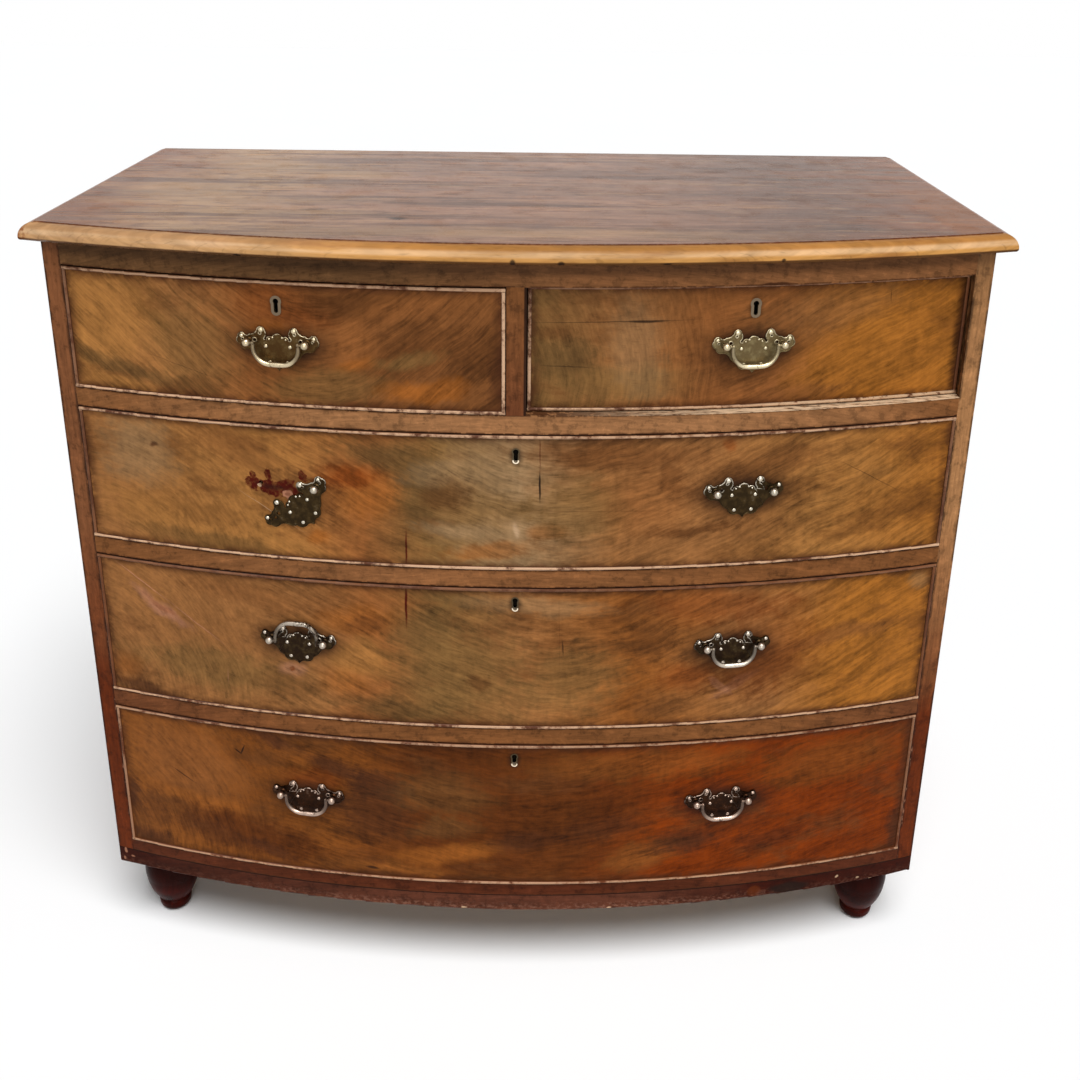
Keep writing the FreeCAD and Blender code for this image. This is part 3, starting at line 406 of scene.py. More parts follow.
DRAWERS["first_long_drawer"] = dict(
    ground=[(0, TAN), (22, GOLD), (33, RUSSET), (40, OLIVE), (50, HAZE), (60, TAN), (72, TAN),
            (84, GOLD), (100, HONEY)],
    feather=(10, 0.52), arcs=(-98, -155, -58), contrast=0.8, bead=(85, 100, 5, 10),
    brass=(rgb(26, 16, 7), rgb(560, 500, 400), rgb(56, 34, 13)), handles=(-0.263, 0.263),
    blots=[
        (HAZE, -86, 50, 42, 42, -40, 55), (GOLD, -76, -50, 95, 26, -5, 80),
        (MOSS, -70, -86, 80, 12, -4, 55), (CHESTNUT, -62, 62, 60, 22, -20, 50),
        (ORANGE, -33, 8, 40, 34, 0, 55), (CEDAR, -37, 34, 36, 14, 6, 80),
        (GOLD, -50, -78, 32, 12, -12, 70), (ORANGE, -44, -62, 14, 10, 0, 70),
        (MOSS, -20, 6, 30, 34, 10, 85), (MOSS, -27, 62, 60, 16, -6, 70), (HAZE, -13, 45, 48, 16, 8, 55),
        (HAZE, -13, -40, 46, 9, -4, 75), (OLIVE, -10, -10, 70, 18, 0, 60),
        (ORANGE, -6, -72, 46, 12, 10, 55), (ORANGE, 7, -42, 24, 8, 0, 50), (HAZE, 0, -42, 9, 13, 10, 90),
        (CHIP_AND_HIGHLIGHT, 0, -40, 3.5, 8, 10, 40), (UMBER, -16, 8, 30, 18, 10, 55), (OLIVE, 14, -5, 52, 34, 0, 70),
        (CHESTNUT, 22, 72, 110, 16, -2, 65), (UMBER, 34, 40, 12, 20, 25, 60),
        (UMBER, 40, -42, 46, 7, 4, 75), (UMBER, 56, -50, 60, 12, 4, 35),
        (UMBER, -72, -40, 60, 16, -6, 30), (RUSSET, 30, 2, 46, 40, 0, 50), (CEDAR, 47, 80, 8, 9, 0, 55),
        (CHESTNUT, 56, 50, 90, 24, 14, 45), (UMBER, 52, 6, 66, 30, 0, 55), (SOOT_AND_SHADE, -48, -2, 46, 30, 0, 55),
        (GHOST, -55, 10, 25, 7.5, -14, 100, CRISP), (GHOST, -59.2, 12, 9, 8, 0, 100, CRISP),
        (GHOST, -55.6, 26, 4.5, 8, 10, 100, CRISP), (GHOST, -59, 26, 3.5, 7, 20, 100, CRISP),
        (GHOST, -55, 4, 15, 6.5, -32, 100, CRISP), (GHOST, -51.5, 15, 10, 6, 8, 100, CRISP),
        (GHOST, -47.5, 28, 4.5, 8, 30, 100, CRISP), (GHOST, -50, 2, 13, 9, 0, 100, CRISP),
        # The pink ring with a dark middle, near the loose plate, is a painted highlight.
        (CHIP_AND_HIGHLIGHT, -57.7, 10, 2.4, 2.4, 0, 90, 20), (PINK, -51.2, 0, 6.2, 6, 0, 90, 15),
        (GHOST, -51.2, 0, 3.2, 3, 0, 50, 30), (INK, -54.5, 8, 15, 4, -14, 55),
        (SOOT_AND_SHADE, -82, 57, 5, 3, 0, 80),
    ],
    marks=[
        (GHOST, -24.6, -48, -24.7, -99, 1.1, 95), (GHOST, 5.2, 98, 5.3, 50, 0.7, 60),
        (INK, 5.3, 45, 5.4, 6, 1.2, 95), (SOOT_AND_SHADE, 0, -10, 34, -12, 0.9, 22),
        (INK, 73.5, 47, 88, -4, 0.45, 55), (CHIP_AND_HIGHLIGHT, -62, -2, -49, -52, 0.4, 45),
        (INK, 60, -14, 75, -10, 0.4, 30),
    ],
)
DRAWERS["second_long_drawer"] = dict(
    ground=[(0, TAN), (25, TAN), (33, RUSSET), (41, OLIVE), (52, TAN), (64, AMBER), (78, TAN),
            (90, HONEY), (100, HONEY)],
    feather=(12, 0.5), arcs=(-115, -120, -60), contrast=0.84, bead=(10, 100, 0, 0),
    brass=(rgb(20, 11, 6), rgb(520, 450, 370), rgb(44, 27, 11)), handles=(-0.263, 0.263),
    blots=[
        (TAN, -90, 55, 42, 40, -35, 50), (PINK, -84.5, 35, 34, 8, -36, 75),
        (CEDAR, -84.5, 38, 20, 4, -36, 35), (OLIVE, -70, -45, 105, 26, -3, 75),
        (SOOT_AND_SHADE, -92, -88, 36, 8, -8, 75), (AMBER, -96, -60, 24, 18, 0, 60),
        (CHESTNUT, -62, 70, 90, 16, -8, 45), (ORANGE, -36, 45, 44, 18, 4, 60),
        (GOLD, -36, -10, 36, 24, 0, 75), (ORANGE, -40, -45, 26, 20, 0, 40),
        (PINK, -52.5, -32, 14, 11, 0, 55), (CEDAR, -52.8, -30, 3, 3, 0, 80, 30),
        (MOSS, -22, 34, 38, 24, 0, 55), (OLIVE, -12, -20, 70, 55, 0, 70), (SOOT_AND_SHADE, -34, 42, 28, 12, 4, 45),
        (UMBER, -54, -55, 44, 18, 0, 40), (UMBER, -8, -36, 14, 10, 0, 60),
        (MOSS, -30, -78, 55, 14, -6, 60), (OLIVE, 12, -28, 60, 42, 14, 65),
        (UMBER, 31, 26, 30, 30, 25, 65), (UMBER, 24, 16, 60, 8, -6, 45), (HAZE, 6, 76, 80, 12, -4, 40),
        (CEDAR, 46, 72, 90, 22, -2, 45), (UMBER, 52, -12, 64, 34, 0, 70), (CEDAR, 40, -30, 30, 20, 0, 50),
        (PINK, 51.5, -47, 26, 5, 28, 35), (PINK, 48.5, -45, 18, 4, -34, 35),
        (HONEY, 82, 5, 80, 60, 12, 60), (UMBER, 60, -30, 56, 24, 4, 50),
        (CHESTNUT, 76, 12, 80, 12, 8, 60), (CEDAR, 60, 5, 60, 60, 0, 35), (HAZE, 96.5, 80, 14, 12, 0, 40),
    ],
    marks=[
        (GHOST, -24.9, 100, -25.1, 46, 1.4, 100), (PINK, -95, 92, -83, 48, 0.7, 70),
        (PINK, -82, 44, -70, -3, 0.7, 60), (INK, 11, 26, 11.2, 8, 0.8, 70),
        (SOOT_AND_SHADE, 10, 98, 10.4, -10, 0.5, 25), (PINK, -69, -42, -69.2, -62, 0.5, 40),
    ],
)
DRAWERS["third_long_drawer"] = dict(
    ground=[(0, AMBER), (12, RUST), (27, RUST), (38, BARK), (56, BARK), (68, EMBER), (100, EMBER)],
    feather=(5, 0.3), arcs=(-115, -90, -60), contrast=0.86, bead=(65, 90, 50, 20),
    brass=(rgb(20, 9, 5), rgb(450, 330, 260), rgb(40, 15, 6)), handles=(-0.263, 0.263),
    blots=[
        (RUSSET, -82, 30, 70, 60, -20, 60), (SOOT_AND_SHADE, -98.5, -28, 14, 24, 0, 80),
        (UMBER, -86, -30, 60, 7, -6, 45), (ORANGE, -78, -18, 70, 12, -8, 50),
        (SOOT_AND_SHADE, -95, -86, 30, 13, 0, 80), (BARK, -66, -58, 90, 30, -12, 90),
        (SOOT_AND_SHADE, -78, -60, 55, 18, -8, 40), (SOOT_AND_SHADE, -62, -76, 30, 10, -20, 55),
        (SOOT_AND_SHADE, -59, 84, 34, 10, -22, 75), (SOOT_AND_SHADE, -44, 56, 42, 12, -20, 80),
        (SOOT_AND_SHADE, -33, 34, 34, 20, -10, 70), (CEDAR, -50, 32, 34, 16, 0, 60), (SOOT_AND_SHADE, -34, -5, 46, 40, 0, 60),
        (OLIVE, -18, 28, 60, 30, 0, 28), (OLIVE, -18, -22, 40, 14, 8, 28),
        (ORANGE, -16, -60, 76, 14, 10, 65), (AMBER, -30, -84, 70, 8, -3, 70),
        (SOOT_AND_SHADE, 2, -38, 40, 14, 14, 70), (BARK, 20, 0, 80, 55, 0, 60), (SOOT_AND_SHADE, 22, -20, 50, 16, 10, 45),
        (AMBER, 32, -62, 46, 20, 14, 65), (SOOT_AND_SHADE, 44, -48, 40, 12, 10, 50), (SOOT_AND_SHADE, 53, 0, 62, 34, 0, 45),
        (AMBER, 30, 70, 120, 20, 2, 50), (RUST, 80, 55, 90, 30, 4, 60), (SOOT_AND_SHADE, 42, -42, 46, 18, 10, 60),
        (SOOT_AND_SHADE, 64, -52, 44, 14, 8, 40), (SOOT_AND_SHADE, -93, -45, 26, 30, 0, 40), (SOOT_AND_SHADE, 98.5, -70, 12, 30, 0, 80),
        (SOOT_AND_SHADE, 99, 40, 8, 60, 0, 50),
    ],
    marks=[
        (INK, -86, 24, -81, 8, 0.9, 70), (INK, -69, 66, -67.5, 60, 1, 90),
        (INK, -67.5, 60, -66.5, 72, 1, 90), (INK, -37, -85, -34, -86, 2, 80),
    ],
)
LOOSE_HANDLE, LOOSE_SWING = ("first_long_drawer", 0), math.radians(40)


def handle_frames(drawer):
    """Each handle's own frame: x along the plate, y into the wood, z up, from between its posts."""
    inset = inset_of(drawer)
    low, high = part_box(drawer + "_front")
    heads = [p.z for p in points_proud_of(drawer + "_handle_mounts", drawer, 11 * MM)]
    level = (min(heads) + max(heads)) / 2
    for index, place in enumerate(DRAWERS[drawer]["handles"]):
        x = (low.x + high.x) / 2 + place
        turn = Matrix.Rotation(math.asin(x / BOW_RADIUS), 4, "Z")
        yield index, Matrix.Translation((x, bow_y(x) + inset, level)) @ turn


def lay_figure(graph, look, at, x, z):
    """A feather whose lines rise to both sides, and rings about a centre at the left. Gives what
    is constant along the feather's lines, the figure and its pores."""
    meet, slope = look["feather"]
    across = z - graph.root(x - at(meet, 0)[0], 0.07) * slope
    value = grain(graph, across, x)
    pore = pores(graph, across, x)
    if look["arcs"]:
        u, v, reach = look["arcs"]
        centre_x, centre_z = at(u, v)
        ring = graph.root(x - centre_x, z - centre_z)
        share = x.step(at(reach - 12, 0)[0], at(reach + 12, 0)[0])
        rings = grain(graph, ring, z - x, bands=55)
        value = rings * (1 - share) * 0.7 + value * share
    return across, value, pore


def lay_blots(graph, look, at, mottle, ragged):
    """A front's blots, of which the crisp ones are patchy inside, and its thin marks."""
    loose = graph.warped(26, 11 * MM)
    tight = graph.warped(110, 2.6 * MM)
    patchy = graph.noise(130, 4, 0.7).step(0.4, 0.56, 0.6, 1)
    for tone, u, v, width, height, tilt, strength, *edge in look["blots"]:
        edge = edge[0] if edge else SOFT
        crisp = edge < 50
        share = graph.blot(
            tight if crisp else loose, *at(u, v), width * MM, height * MM, tilt, edge / 100 * 0.8,
            (mottle - 0.5) * 2.2 if crisp else ragged,
        )
        strength = strength / 100
        graph.coat(tone, share * (patchy * strength if crisp else strength))
    fine = graph.warped(45, 1.3 * MM)
    for tone, u, v, to_u, to_v, thickness, strength in look["marks"]:
        start, end = Vector(at(u, v)), Vector(at(to_u, to_v))
        way = end - start
        tilt = math.degrees(math.atan2(way.y, way.x))
        middle = (start + end) / 2
        share = graph.blot(fine, *middle, way.length / 2, thickness * MM, tilt, 0.5)
        graph.coat(tone, share * (strength / 100))


def lay_grime_and_shade(graph, drawer, middle, half, mottle):
    """Grime round the keyhole, painted shadow round and below the handles, and grime with painted shade
    in the corners and against the cockbead.
    """
    low, high = keyhole_of(drawer)
    key = (low + high) / 2
    graph.coat(INK, graph.blot(graph.place, key.x, key.z, 7 * MM, 10 * MM) * 0.75)
    for index, placed in handle_frames(drawer):
        if (drawer, index) == LOOSE_HANDLE:
            continue
        x, _, z = placed.translation
        # Painted shadow of the plate on the wood, round it and a little below it.
        for width, height, strength in ((58, 30, 0.35), (45, 19, 0.75)):
            share = graph.blot(graph.place, x, z - 4 * MM, width * MM, height * MM, 0, 0.45)
            graph.coat(INK, share * strength)
    # Darker towards the ends and the top and bottom edges: grime with painted shade against the cockbead.
    ends = abs(graph.x - middle.x).step(half.x - 18 * MM, half.x - 3 * MM)
    edges = abs(graph.z - middle.z).step(half.z - 14.4 * MM, half.z - 3 * MM)
    graph.coat(SOOT_AND_SHADE, graph.math("MAXIMUM", ends, edges) * mottle.step(0.3, 0.56) * 0.85)


def front_material(drawer, look):
    graph = Graph(drawer + "_figure")
    low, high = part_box(drawer + "_front")
    middle, half = (low + high) / 2, (high - low) / 2
    x, _, z = graph.split(graph.warped(7, 16 * MM))

    def at(u, v):
        return middle.x + u / 100 * half.x, middle.z + v / 100 * half.z

    across, value, pore = lay_figure(graph, look, at, x, z)
    cloud = graph.streaks(graph.x * 9, 0, graph.z * 20, 6, 0.66)
    mottle = graph.noise(60, 5, 0.68)
    ragged = (cloud - 0.5) * 1.4 + (mottle - 0.5) * 1.5 + value * 0.5
    share = (graph.x - low.x) * (0.5 / half.x)
    graph.colour = graph.ramp(share + (cloud - 0.5) * 0.16, look["ground"])
    graph.coat(UMBER, cloud.step(0.48, 0.66) * 0.6)
    graph.coat(SOOT_AND_SHADE, mottle.step(0.52, 0.7) * 0.24)
    lay_blots(graph, look, at, mottle, ragged)
    lay_grime_and_shade(graph, drawer, middle, half, mottle)
    ripple = graph.streaks(x * 150, across * 12, 0, 2, 0.5)
    speck = graph.noise(150, 2, 0.6)
    value = value + (mottle - 0.5) * 1.1 + (ripple - 0.5) * 0.4 + (speck - 0.5) * 0.45
    return polished(graph, value, pore, 0.42, look["contrast"])


def bead_material(drawer, look):
    """A cockbead: rubbed pale in stretches of its nose, with dirt in its quirks and dark nicks."""
    graph = Graph(drawer + "_bead")
    low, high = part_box(drawer + "_cockbead")
    height = proud(graph, inset_of(drawer))
    rubbed = 0
    for percent, place, edge in zip(
        look["bead"], (graph.z, graph.z, graph.x, graph.x), (high.z, low.z, low.x, high.x)
    ):
        strip = place.band(edge, 4.4 * MM, 0.6 * MM)
        rubbed = graph.math("MAXIMUM", strip * (percent / 100), rubbed)
    stretch = graph.noise(16, 5, 0.7)
    fleck = graph.noise(120, 4, 0.65)
    graph.colour = graph.mix(BEAD, BEAD_DARK, stretch.step(0.42, 0.62))
    pale = (stretch * 0.6 + fleck * 0.4).step(0.61, 0.47)
    graph.coat(BEAD_WORN, pale * height.step(0.7 * MM, 1.5 * MM) * rubbed)
    graph.coat(INK, height.step(0.9 * MM, 0.1 * MM) * 0.9)
    graph.coat(INK, fleck.step(0.64, 0.7) * 0.6)
    if drawer == "short_right_drawer":
        bare = graph.blot(graph.place, 0.395, low.z + 2 * MM, 135 * MM, 3.6 * MM, 0, 0.2)
        graph.coat(CHIP_AND_HIGHLIGHT, bare * fleck.step(0.6, 0.48) * 0.9)
    graph.coat(CEDAR, graph.z.step(0.5, 0.15) * 0.3)
    return graph.finish(0.38 + (fleck - 0.5) * 0.2, stretch * 0.4 + fleck, 0.25 * MM, 0.08)


# ---- the case
CASE_LEFT, CASE_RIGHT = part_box("left_side")[0].x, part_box("right_side")[1].x
TOP_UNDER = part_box("top_board")[0].z
# How far the moulding's quirk lies inside the top's edge.
QUIRK_INSET = 15.7 * MM
RAILS = {
    # Its dark left part is partly painted shadow under the moulding.
    "top_rail": [(0, DARK_TONE_AND_RAIL_SHADOW), (35, DARK_TONE_AND_RAIL_SHADOW), (55, RAIL_MID), (100, RAIL_MID)],
    "upper_drawer_rail": [(0, RAIL_BROWN), (30, RAIL_ROSE), (75, RAIL_ROSE), (100, RAIL_BROWN)],
    "middle_drawer_rail": [(0, RAIL_BROWN), (35, RAIL_MID), (80, RAIL_BROWN), (100, RAIL_BROWN)],
    "lower_drawer_rail": [(0, RAIL_RED), (30, RAIL_BROWN), (80, RAIL_BROWN), (100, RAIL_RED)],
    "bottom_rail": [(0, RAIL_LOW), (100, RAIL_LOW)],
}
# Both stiles darken to red towards the bottom: partly their tone, partly painted shade.
STILES = {
    "left_stile": [(0, STILE_RED), (35, STILE_RED), (60, STILE_BROWN), (100, STILE_BROWN)],
    "right_stile": [(0, STILE_RED), (30, STILE_RED), (62, STILE_PALE), (100, STILE_PALE)],
}
SIDES = [(0, STILE_RED), (25, SIDE), (70, RAIL_BROWN), (100, RAIL_ROSE)]


def straight_material(name, run, low, high, stops, gloss=0.4, dirt_and_shade_heights=()):
    """Straight-grained wood along x or z. Its tone goes through the stops between two places on
    its run, and a broken dark line of dirt and painted gap shade lies at the heights in dirty.
    Gives what polished() needs."""
    graph = Graph(name)
    x, y, z = graph.split(graph.warped(6, 5 * MM))
    along, across, place = (x, z + y, graph.x) if run == "x" else (z, x + y * 0.6, graph.z)
    value = grain(graph, across, along, bands=60, lines=420)
    pore = pores(graph, across, along)
    cloud = graph.noise(9, 4, 0.6)
    share = (place - low) * (1 / (high - low))
    graph.colour = graph.ramp(share + (cloud - 0.5) * 0.22, stops)
    mottle = graph.noise(70, 4, 0.7)
    graph.shade(mottle.step(0.5, 0.66, 1, 0.62) + mottle.step(0.46, 0.32) * 0.3)
    # A broken dark line along each of these heights: dirt, with painted shade from the gaps beside the
    # drawers.
    for edge in dirt_and_shade_heights:
        near = graph.z.band(edge, 0.3 * MM, 2 * MM)
        graph.coat(SOOT_AND_SHADE, near * graph.noise(90, 4, 0.7).step(0.4, 0.5) * 0.85)
    return graph, value + (mottle - 0.5) * 0.3, pore, gloss


def painted_shadow_under_top(graph):
    """1 in the painted shadow close under the top board, 0 below it."""
    return graph.z.step(TOP_UNDER - 22 * MM, TOP_UNDER - 10 * MM)


def rail_materials():
    for rail, stops in RAILS.items():
        low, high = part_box(rail)
        graph, *rest = straight_material(
            rail + "_wood", "x", CASE_LEFT, CASE_RIGHT, stops, dirt_and_shade_heights=(low.z, high.z)
        )
        if rail == "top_rail":
            knock = graph.blot(graph.warped(60, 3 * MM), 0.287, low.z, 20 * MM, 3 * MM, 0, 0.3)
            graph.coat(SOOT_AND_SHADE, knock * 0.9)
            # Painted shadow under the top's moulding.
            graph.coat(INK, painted_shadow_under_top(graph) * 0.55)
        if rail == "upper_drawer_rail":
            # its upper face, worn pale where the short right drawer stands back
            shelf = graph.z.step(high.z - 0.5 * MM, high.z - 0.2 * MM)
            wear = graph.streaks(graph.x * 60, graph.y * 260, 0, 4, 0.6).step(0.68, 0.5)
            graph.coat(SCUFF_AND_HIGHLIGHT, shelf * graph.x.step(0.02, 0.26) * wear * 0.9)
        paint(rail, polished(graph, *rest))


def upright_materials():
    for stile, stops in STILES.items():
        low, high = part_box(stile)
        graph, *rest = straight_material(stile + "_wood", "z", low.z, high.z, stops)
        inner, outer = sorted((low.x, high.x), key=abs)
        ragged = graph.streaks(graph.x, graph.y, graph.z * 0.35, 4, 0.7, 120)
        # Dark, broken lines along both edges; along the inner edge this is painted shade from the drawer
        # openings, with dirt.
        edges = graph.math(
            "MAXIMUM", graph.x.band(inner, 0.6 * MM, 3.5 * MM), graph.x.band(outer, 1 * MM, 3 * MM)
        )
        graph.coat(INK, edges * ragged.step(0.36, 0.56) * 0.75)
        near = graph.x.band(inner, 0.4 * MM, 2.2 * MM)
        graph.coat(PINK, near * ragged.step(0.56, 0.64) * graph.z.step(0.62, 0.25, 0, 0.9))
        # Painted shadow under the top's moulding.
        graph.coat(INK, painted_shadow_under_top(graph) * 0.4)
        paint(stile, polished(graph, *rest))
    low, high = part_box("short_drawer_divider")
    stops = [(0, RAIL_RED), (100, RAIL_BROWN)]
    graph, *rest = straight_material("divider_wood", "z", low.z, high.z, stops)
    # Painted shadow: a dark strip down its right edge, beside the short right drawer that stands back.
    graph.coat(INK, graph.x.step(high.x - 3.5 * MM, high.x - 2 * MM) * 0.9)
    paint("short_drawer_divider", polished(graph, *rest))
    for side in ("left_side", "right_side"):
        low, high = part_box(side)
        graph, *rest = straight_material(side + "_wood", "z", low.z, high.z, SIDES)
        ripple = graph.streaks(graph.x, graph.y * 9, graph.z * 30)
        graph.shade(1 + (ripple - 0.5) * 0.5)
        paint(side, polished(graph, *rest, contrast=0.7))


def plinth_material():
    low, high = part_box("front_plinth")
    stops = [(0, PLINTH), (38, PLINTH_MID), (64, PLINTH_MID), (80, PLINTH), (100, PLINTH)]
    graph, *rest = straight_material("plinth_wood", "x", CASE_LEFT, CASE_RIGHT, stops, 0.42)
    speckle = graph.streaks(graph.x * 0.7, graph.y, graph.z, 4, 0.75, 260)
    lower = graph.z.step(high.z - 9 * MM, low.z + 3 * MM)
    inner = abs(graph.x).step(0.42, 0.2, 0.25, 0.85)
    graph.coat(PLINTH_WORN, lower * speckle.step(0.49, 0.57) * inner)
    # Painted shade: a dark line along its top, under the rail above.
    graph.coat(INK, graph.z.band(high.z, 0.8 * MM, 1.4 * MM) * 0.85)
    tight = graph.warped(60, 4 * MM)
    # knocks and chips: a tone, its place, its half sizes in millimetres and its strength
    for tone, x, z, width, height, strength in (
        (INK, 0.366, 0.11, 27, 8, 0.85), (CEDAR, 0.318, 0.112, 9, 8, 0.3),
        (CHIP_AND_HIGHLIGHT, 0.432, 0.1152, 2.2, 1.8, 0.7), (CHIP_AND_HIGHLIGHT, 0.463, 0.1085, 2.4, 1.8, 0.7),
        (CHIP_AND_HIGHLIGHT, -0.065, 0.1035, 3.4, 1.8, 0.9), (CHIP_AND_HIGHLIGHT, 0.126, 0.1034, 3, 1.6, 0.9),
        (CHIP_AND_HIGHLIGHT, 0.484, 0.101, 2.6, 2.2, 0.9), (PINK, -0.531, 0.122, 2.2, 5, 0.9),
        (PINK, -0.52, 0.114, 3, 1.6, 0.7), (PINK, -0.534, 0.108, 1.6, 3, 0.6),
    ):
        graph.coat(tone, graph.blot(tight, x, z, width * MM, height * MM, 0, 0.25) * strength)
    paint("front_plinth", polished(graph, *rest))


def lay_top(graph, low, high, x, y):
    """The top's ground, its streaks and mottle, and its faded and stained places, with painted sheen
    towards the back left.
    """
    cloud = graph.streaks(graph.x * 4, graph.y * 13, 0, 5, 0.6)
    share = (graph.x - low.x) * (1 / (high.x - low.x)) + (cloud - 0.5) * 0.4
    # Paler towards the left: bloom in the polish, partly painted sheen.
    graph.colour = graph.ramp(share, [(0, TOP_RED), (18, TOP_BLOOM_AND_SHEEN), (36, TOP_PLUM),
                                      (62, TOP_PLUM), (80, TOP_DARK), (100, TOP_RED)])
    for tone, run, across, low_end, high_end, strength in (
        (TOP_DARK, 2.2, 46, 0.5, 0.6, 0.8), (TOP_BLOOM_AND_SHEEN, 3, 70, 0.56, 0.68, 0.45),
        (INK, 4, 210, 0.6, 0.68, 0.55),
    ):
        layer = graph.streaks(x * run, y * across, 0, 4, 0.62)
        graph.coat(tone, layer.step(low_end, high_end) * strength)
    mottle = graph.streaks(graph.x * 26, graph.y * 70, 0, 5, 0.72)
    graph.coat(TOP_DARK, mottle.step(0.5, 0.64) * 0.6)
    graph.coat(TOP_BLOOM_AND_SHEEN, mottle.step(0.46, 0.34) * 0.35)
    loose = graph.warped(14, 22 * MM)
    # Faded, stained and dark places. The pale blots towards the back left are partly painted sheen.
    for tone, at_x, at_y, width, depth, strength in (
        (TOP_BLOOM_AND_SHEEN, -0.36, 0.17, 70, 45, 0.8), (TOP_BLOOM_AND_SHEEN, -0.23, 0.1, 60, 28, 0.7),
        (TOP_BLOOM_AND_SHEEN, -0.44, -0.02, 60, 60, 0.5), (INK, -0.135, -0.17, 10, 8, 0.75),
        (INK, -0.24, -0.12, 16, 5, 0.5), (TOP_DARK, 0.12, 0.12, 120, 30, 0.6),
        (TOP_PLUM, 0.1, -0.16, 160, 34, 0.5), (TOP_DARK, -0.08, -0.09, 90, 8, 0.5),
        (TOP_BLOOM_AND_SHEEN, 0, -0.235, 280, 26, 0.55), (TOP_RED, -0.5, -0.12, 60, 24, 0.6),
    ):
        away = graph.away(loose, (at_x, at_y, 0), (width * MM, depth * MM, THROUGH))
        graph.coat(tone, away.step(0.4, 1.5, 1, 0) * strength)
    corner = (graph.x + (cloud - 0.5) * 0.02).step(0.484, 0.496)
    graph.coat(AMBER, corner * graph.y.step(0.1, -0.06) * 0.7)


def lay_moulding(graph, low, high):
    """The golden moulding round the front, painted highlights along its nose and towards its left end, a
    dark line at its quirk, painted shade along its lower edge, and its nicks.
    """
    edge = proud(graph)
    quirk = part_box("top_rail")[0].y - low.y - QUIRK_INSET
    ragged = graph.noise(160, 3, 0.6)
    front = edge.step(quirk, quirk + 1.2 * MM)
    golden = front * (graph.x + (ragged - 0.5) * 0.04).step(-0.562, -0.545)
    ends = abs(graph.x).step(high.x - QUIRK_INSET, high.x - QUIRK_INSET + 2 * MM)
    warm = graph.streaks(graph.x * 12, graph.y * 30, graph.z * 90, 4, 0.6)
    moulding = graph.mix(MOULDING, RUSSET, warm.step(0.5, 0.74) * 0.6)
    upper = edge.step(quirk + 14.5 * MM, quirk + 10.5 * MM)
    moulding = graph.mix(moulding, AMBER, upper * 0.42)
    # Painted highlight: paler towards the left end.
    moulding = graph.mix(moulding, CHIP_AND_HIGHLIGHT, graph.x.step(-0.08, -0.4) * 0.4)
    # Painted highlight: a pale band in stretches along the nose, at mid height.
    rubbed = graph.streaks(graph.x * 5, 0, graph.z * 90, 3, 0.5).step(0.34, 0.56)
    nose = graph.z.band(low.z + 11 * MM, 1 * MM, 3.5 * MM)
    moulding = graph.mix(moulding, SCUFF_AND_HIGHLIGHT, nose * rubbed * 0.4)
    graph.coat(TOP_RED, graph.math("MAXIMUM", front, ends) * 0.85)
    graph.coat(moulding, golden)
    line = edge.band(quirk, 0.5 * MM, 3.5 * MM)
    graph.coat(STILE_RED, line * ragged.step(0.25, 0.6) * 0.7)
    # Painted shade along the lower edge, where the moulding turns under.
    graph.coat(SOOT_AND_SHADE, graph.z.step(low.z + 4.5 * MM, low.z + 2.5 * MM) * 0.85)
    tight = graph.warped(80, 2 * MM)
    for x, z, width, height in (
        (-0.004, 0.9755, 3, 3.4), (0.047, 0.975, 3.6, 2.6), (0.285, 0.976, 2.4, 2),
        (-0.3, 0.974, 4, 1.6), (0.16, 0.9742, 5, 1.2),
    ):
        nick = graph.blot(tight, x, z, width * MM, height * MM, 0, 0.4)
        graph.coat(INK, nick * front * 0.85)


def top_material():
    graph = Graph("top_polish")
    low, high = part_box("top_board")
    x, y, z = graph.split(graph.warped(3, 9 * MM))
    value = grain(graph, y - z, x * 0.5, bands=30, lines=300)
    pore = pores(graph, y, x)
    lay_top(graph, low, high, x, y)
    lay_moulding(graph, low, high)
    graph.shade(1 + value * 0.65 - pore * 0.2)
    roughness = 0.2 + graph.noise(30, 4).step(0.4, 0.8) * 0.14 + pore * 0.1
    paint("top_board", graph.finish(roughness, value * 0.6 - pore * 0.5, 0.06 * MM))


def foot_material():
    graph = Graph("foot_polish")
    x, y, z = graph.split(graph.warped(20, 3 * MM))
    value = grain(graph, x + y, z, bands=90, lines=500)
    rings = graph.streaks(0, 0, graph.z * 300, 2)
    cloud = graph.noise(34, 4, 0.6)
    lower = graph.z.step(0.06, 0.04, 0.15, 1)
    graph.colour = graph.mix(FOOT, FOOT_RED, cloud.step(0.36, 0.6) * lower)
    graph.coat(INK, rings.step(0.62, 0.75) * 0.6)
    scuff = graph.noise(170, 4, 0.7).step(0.66, 0.74)
    graph.coat(PLINTH_WORN, scuff * graph.z.step(0.03, 0.008) * 0.7)
    graph.shade(1 + value * 0.5)
    roughness = 0.3 + (cloud - 0.5) * 0.25
    material = graph.finish(roughness, value + rings * 0.4, 0.15 * MM, 0.03)
    for foot in (name for name in nodes if name.endswith("foot")):
        paint(foot, material)


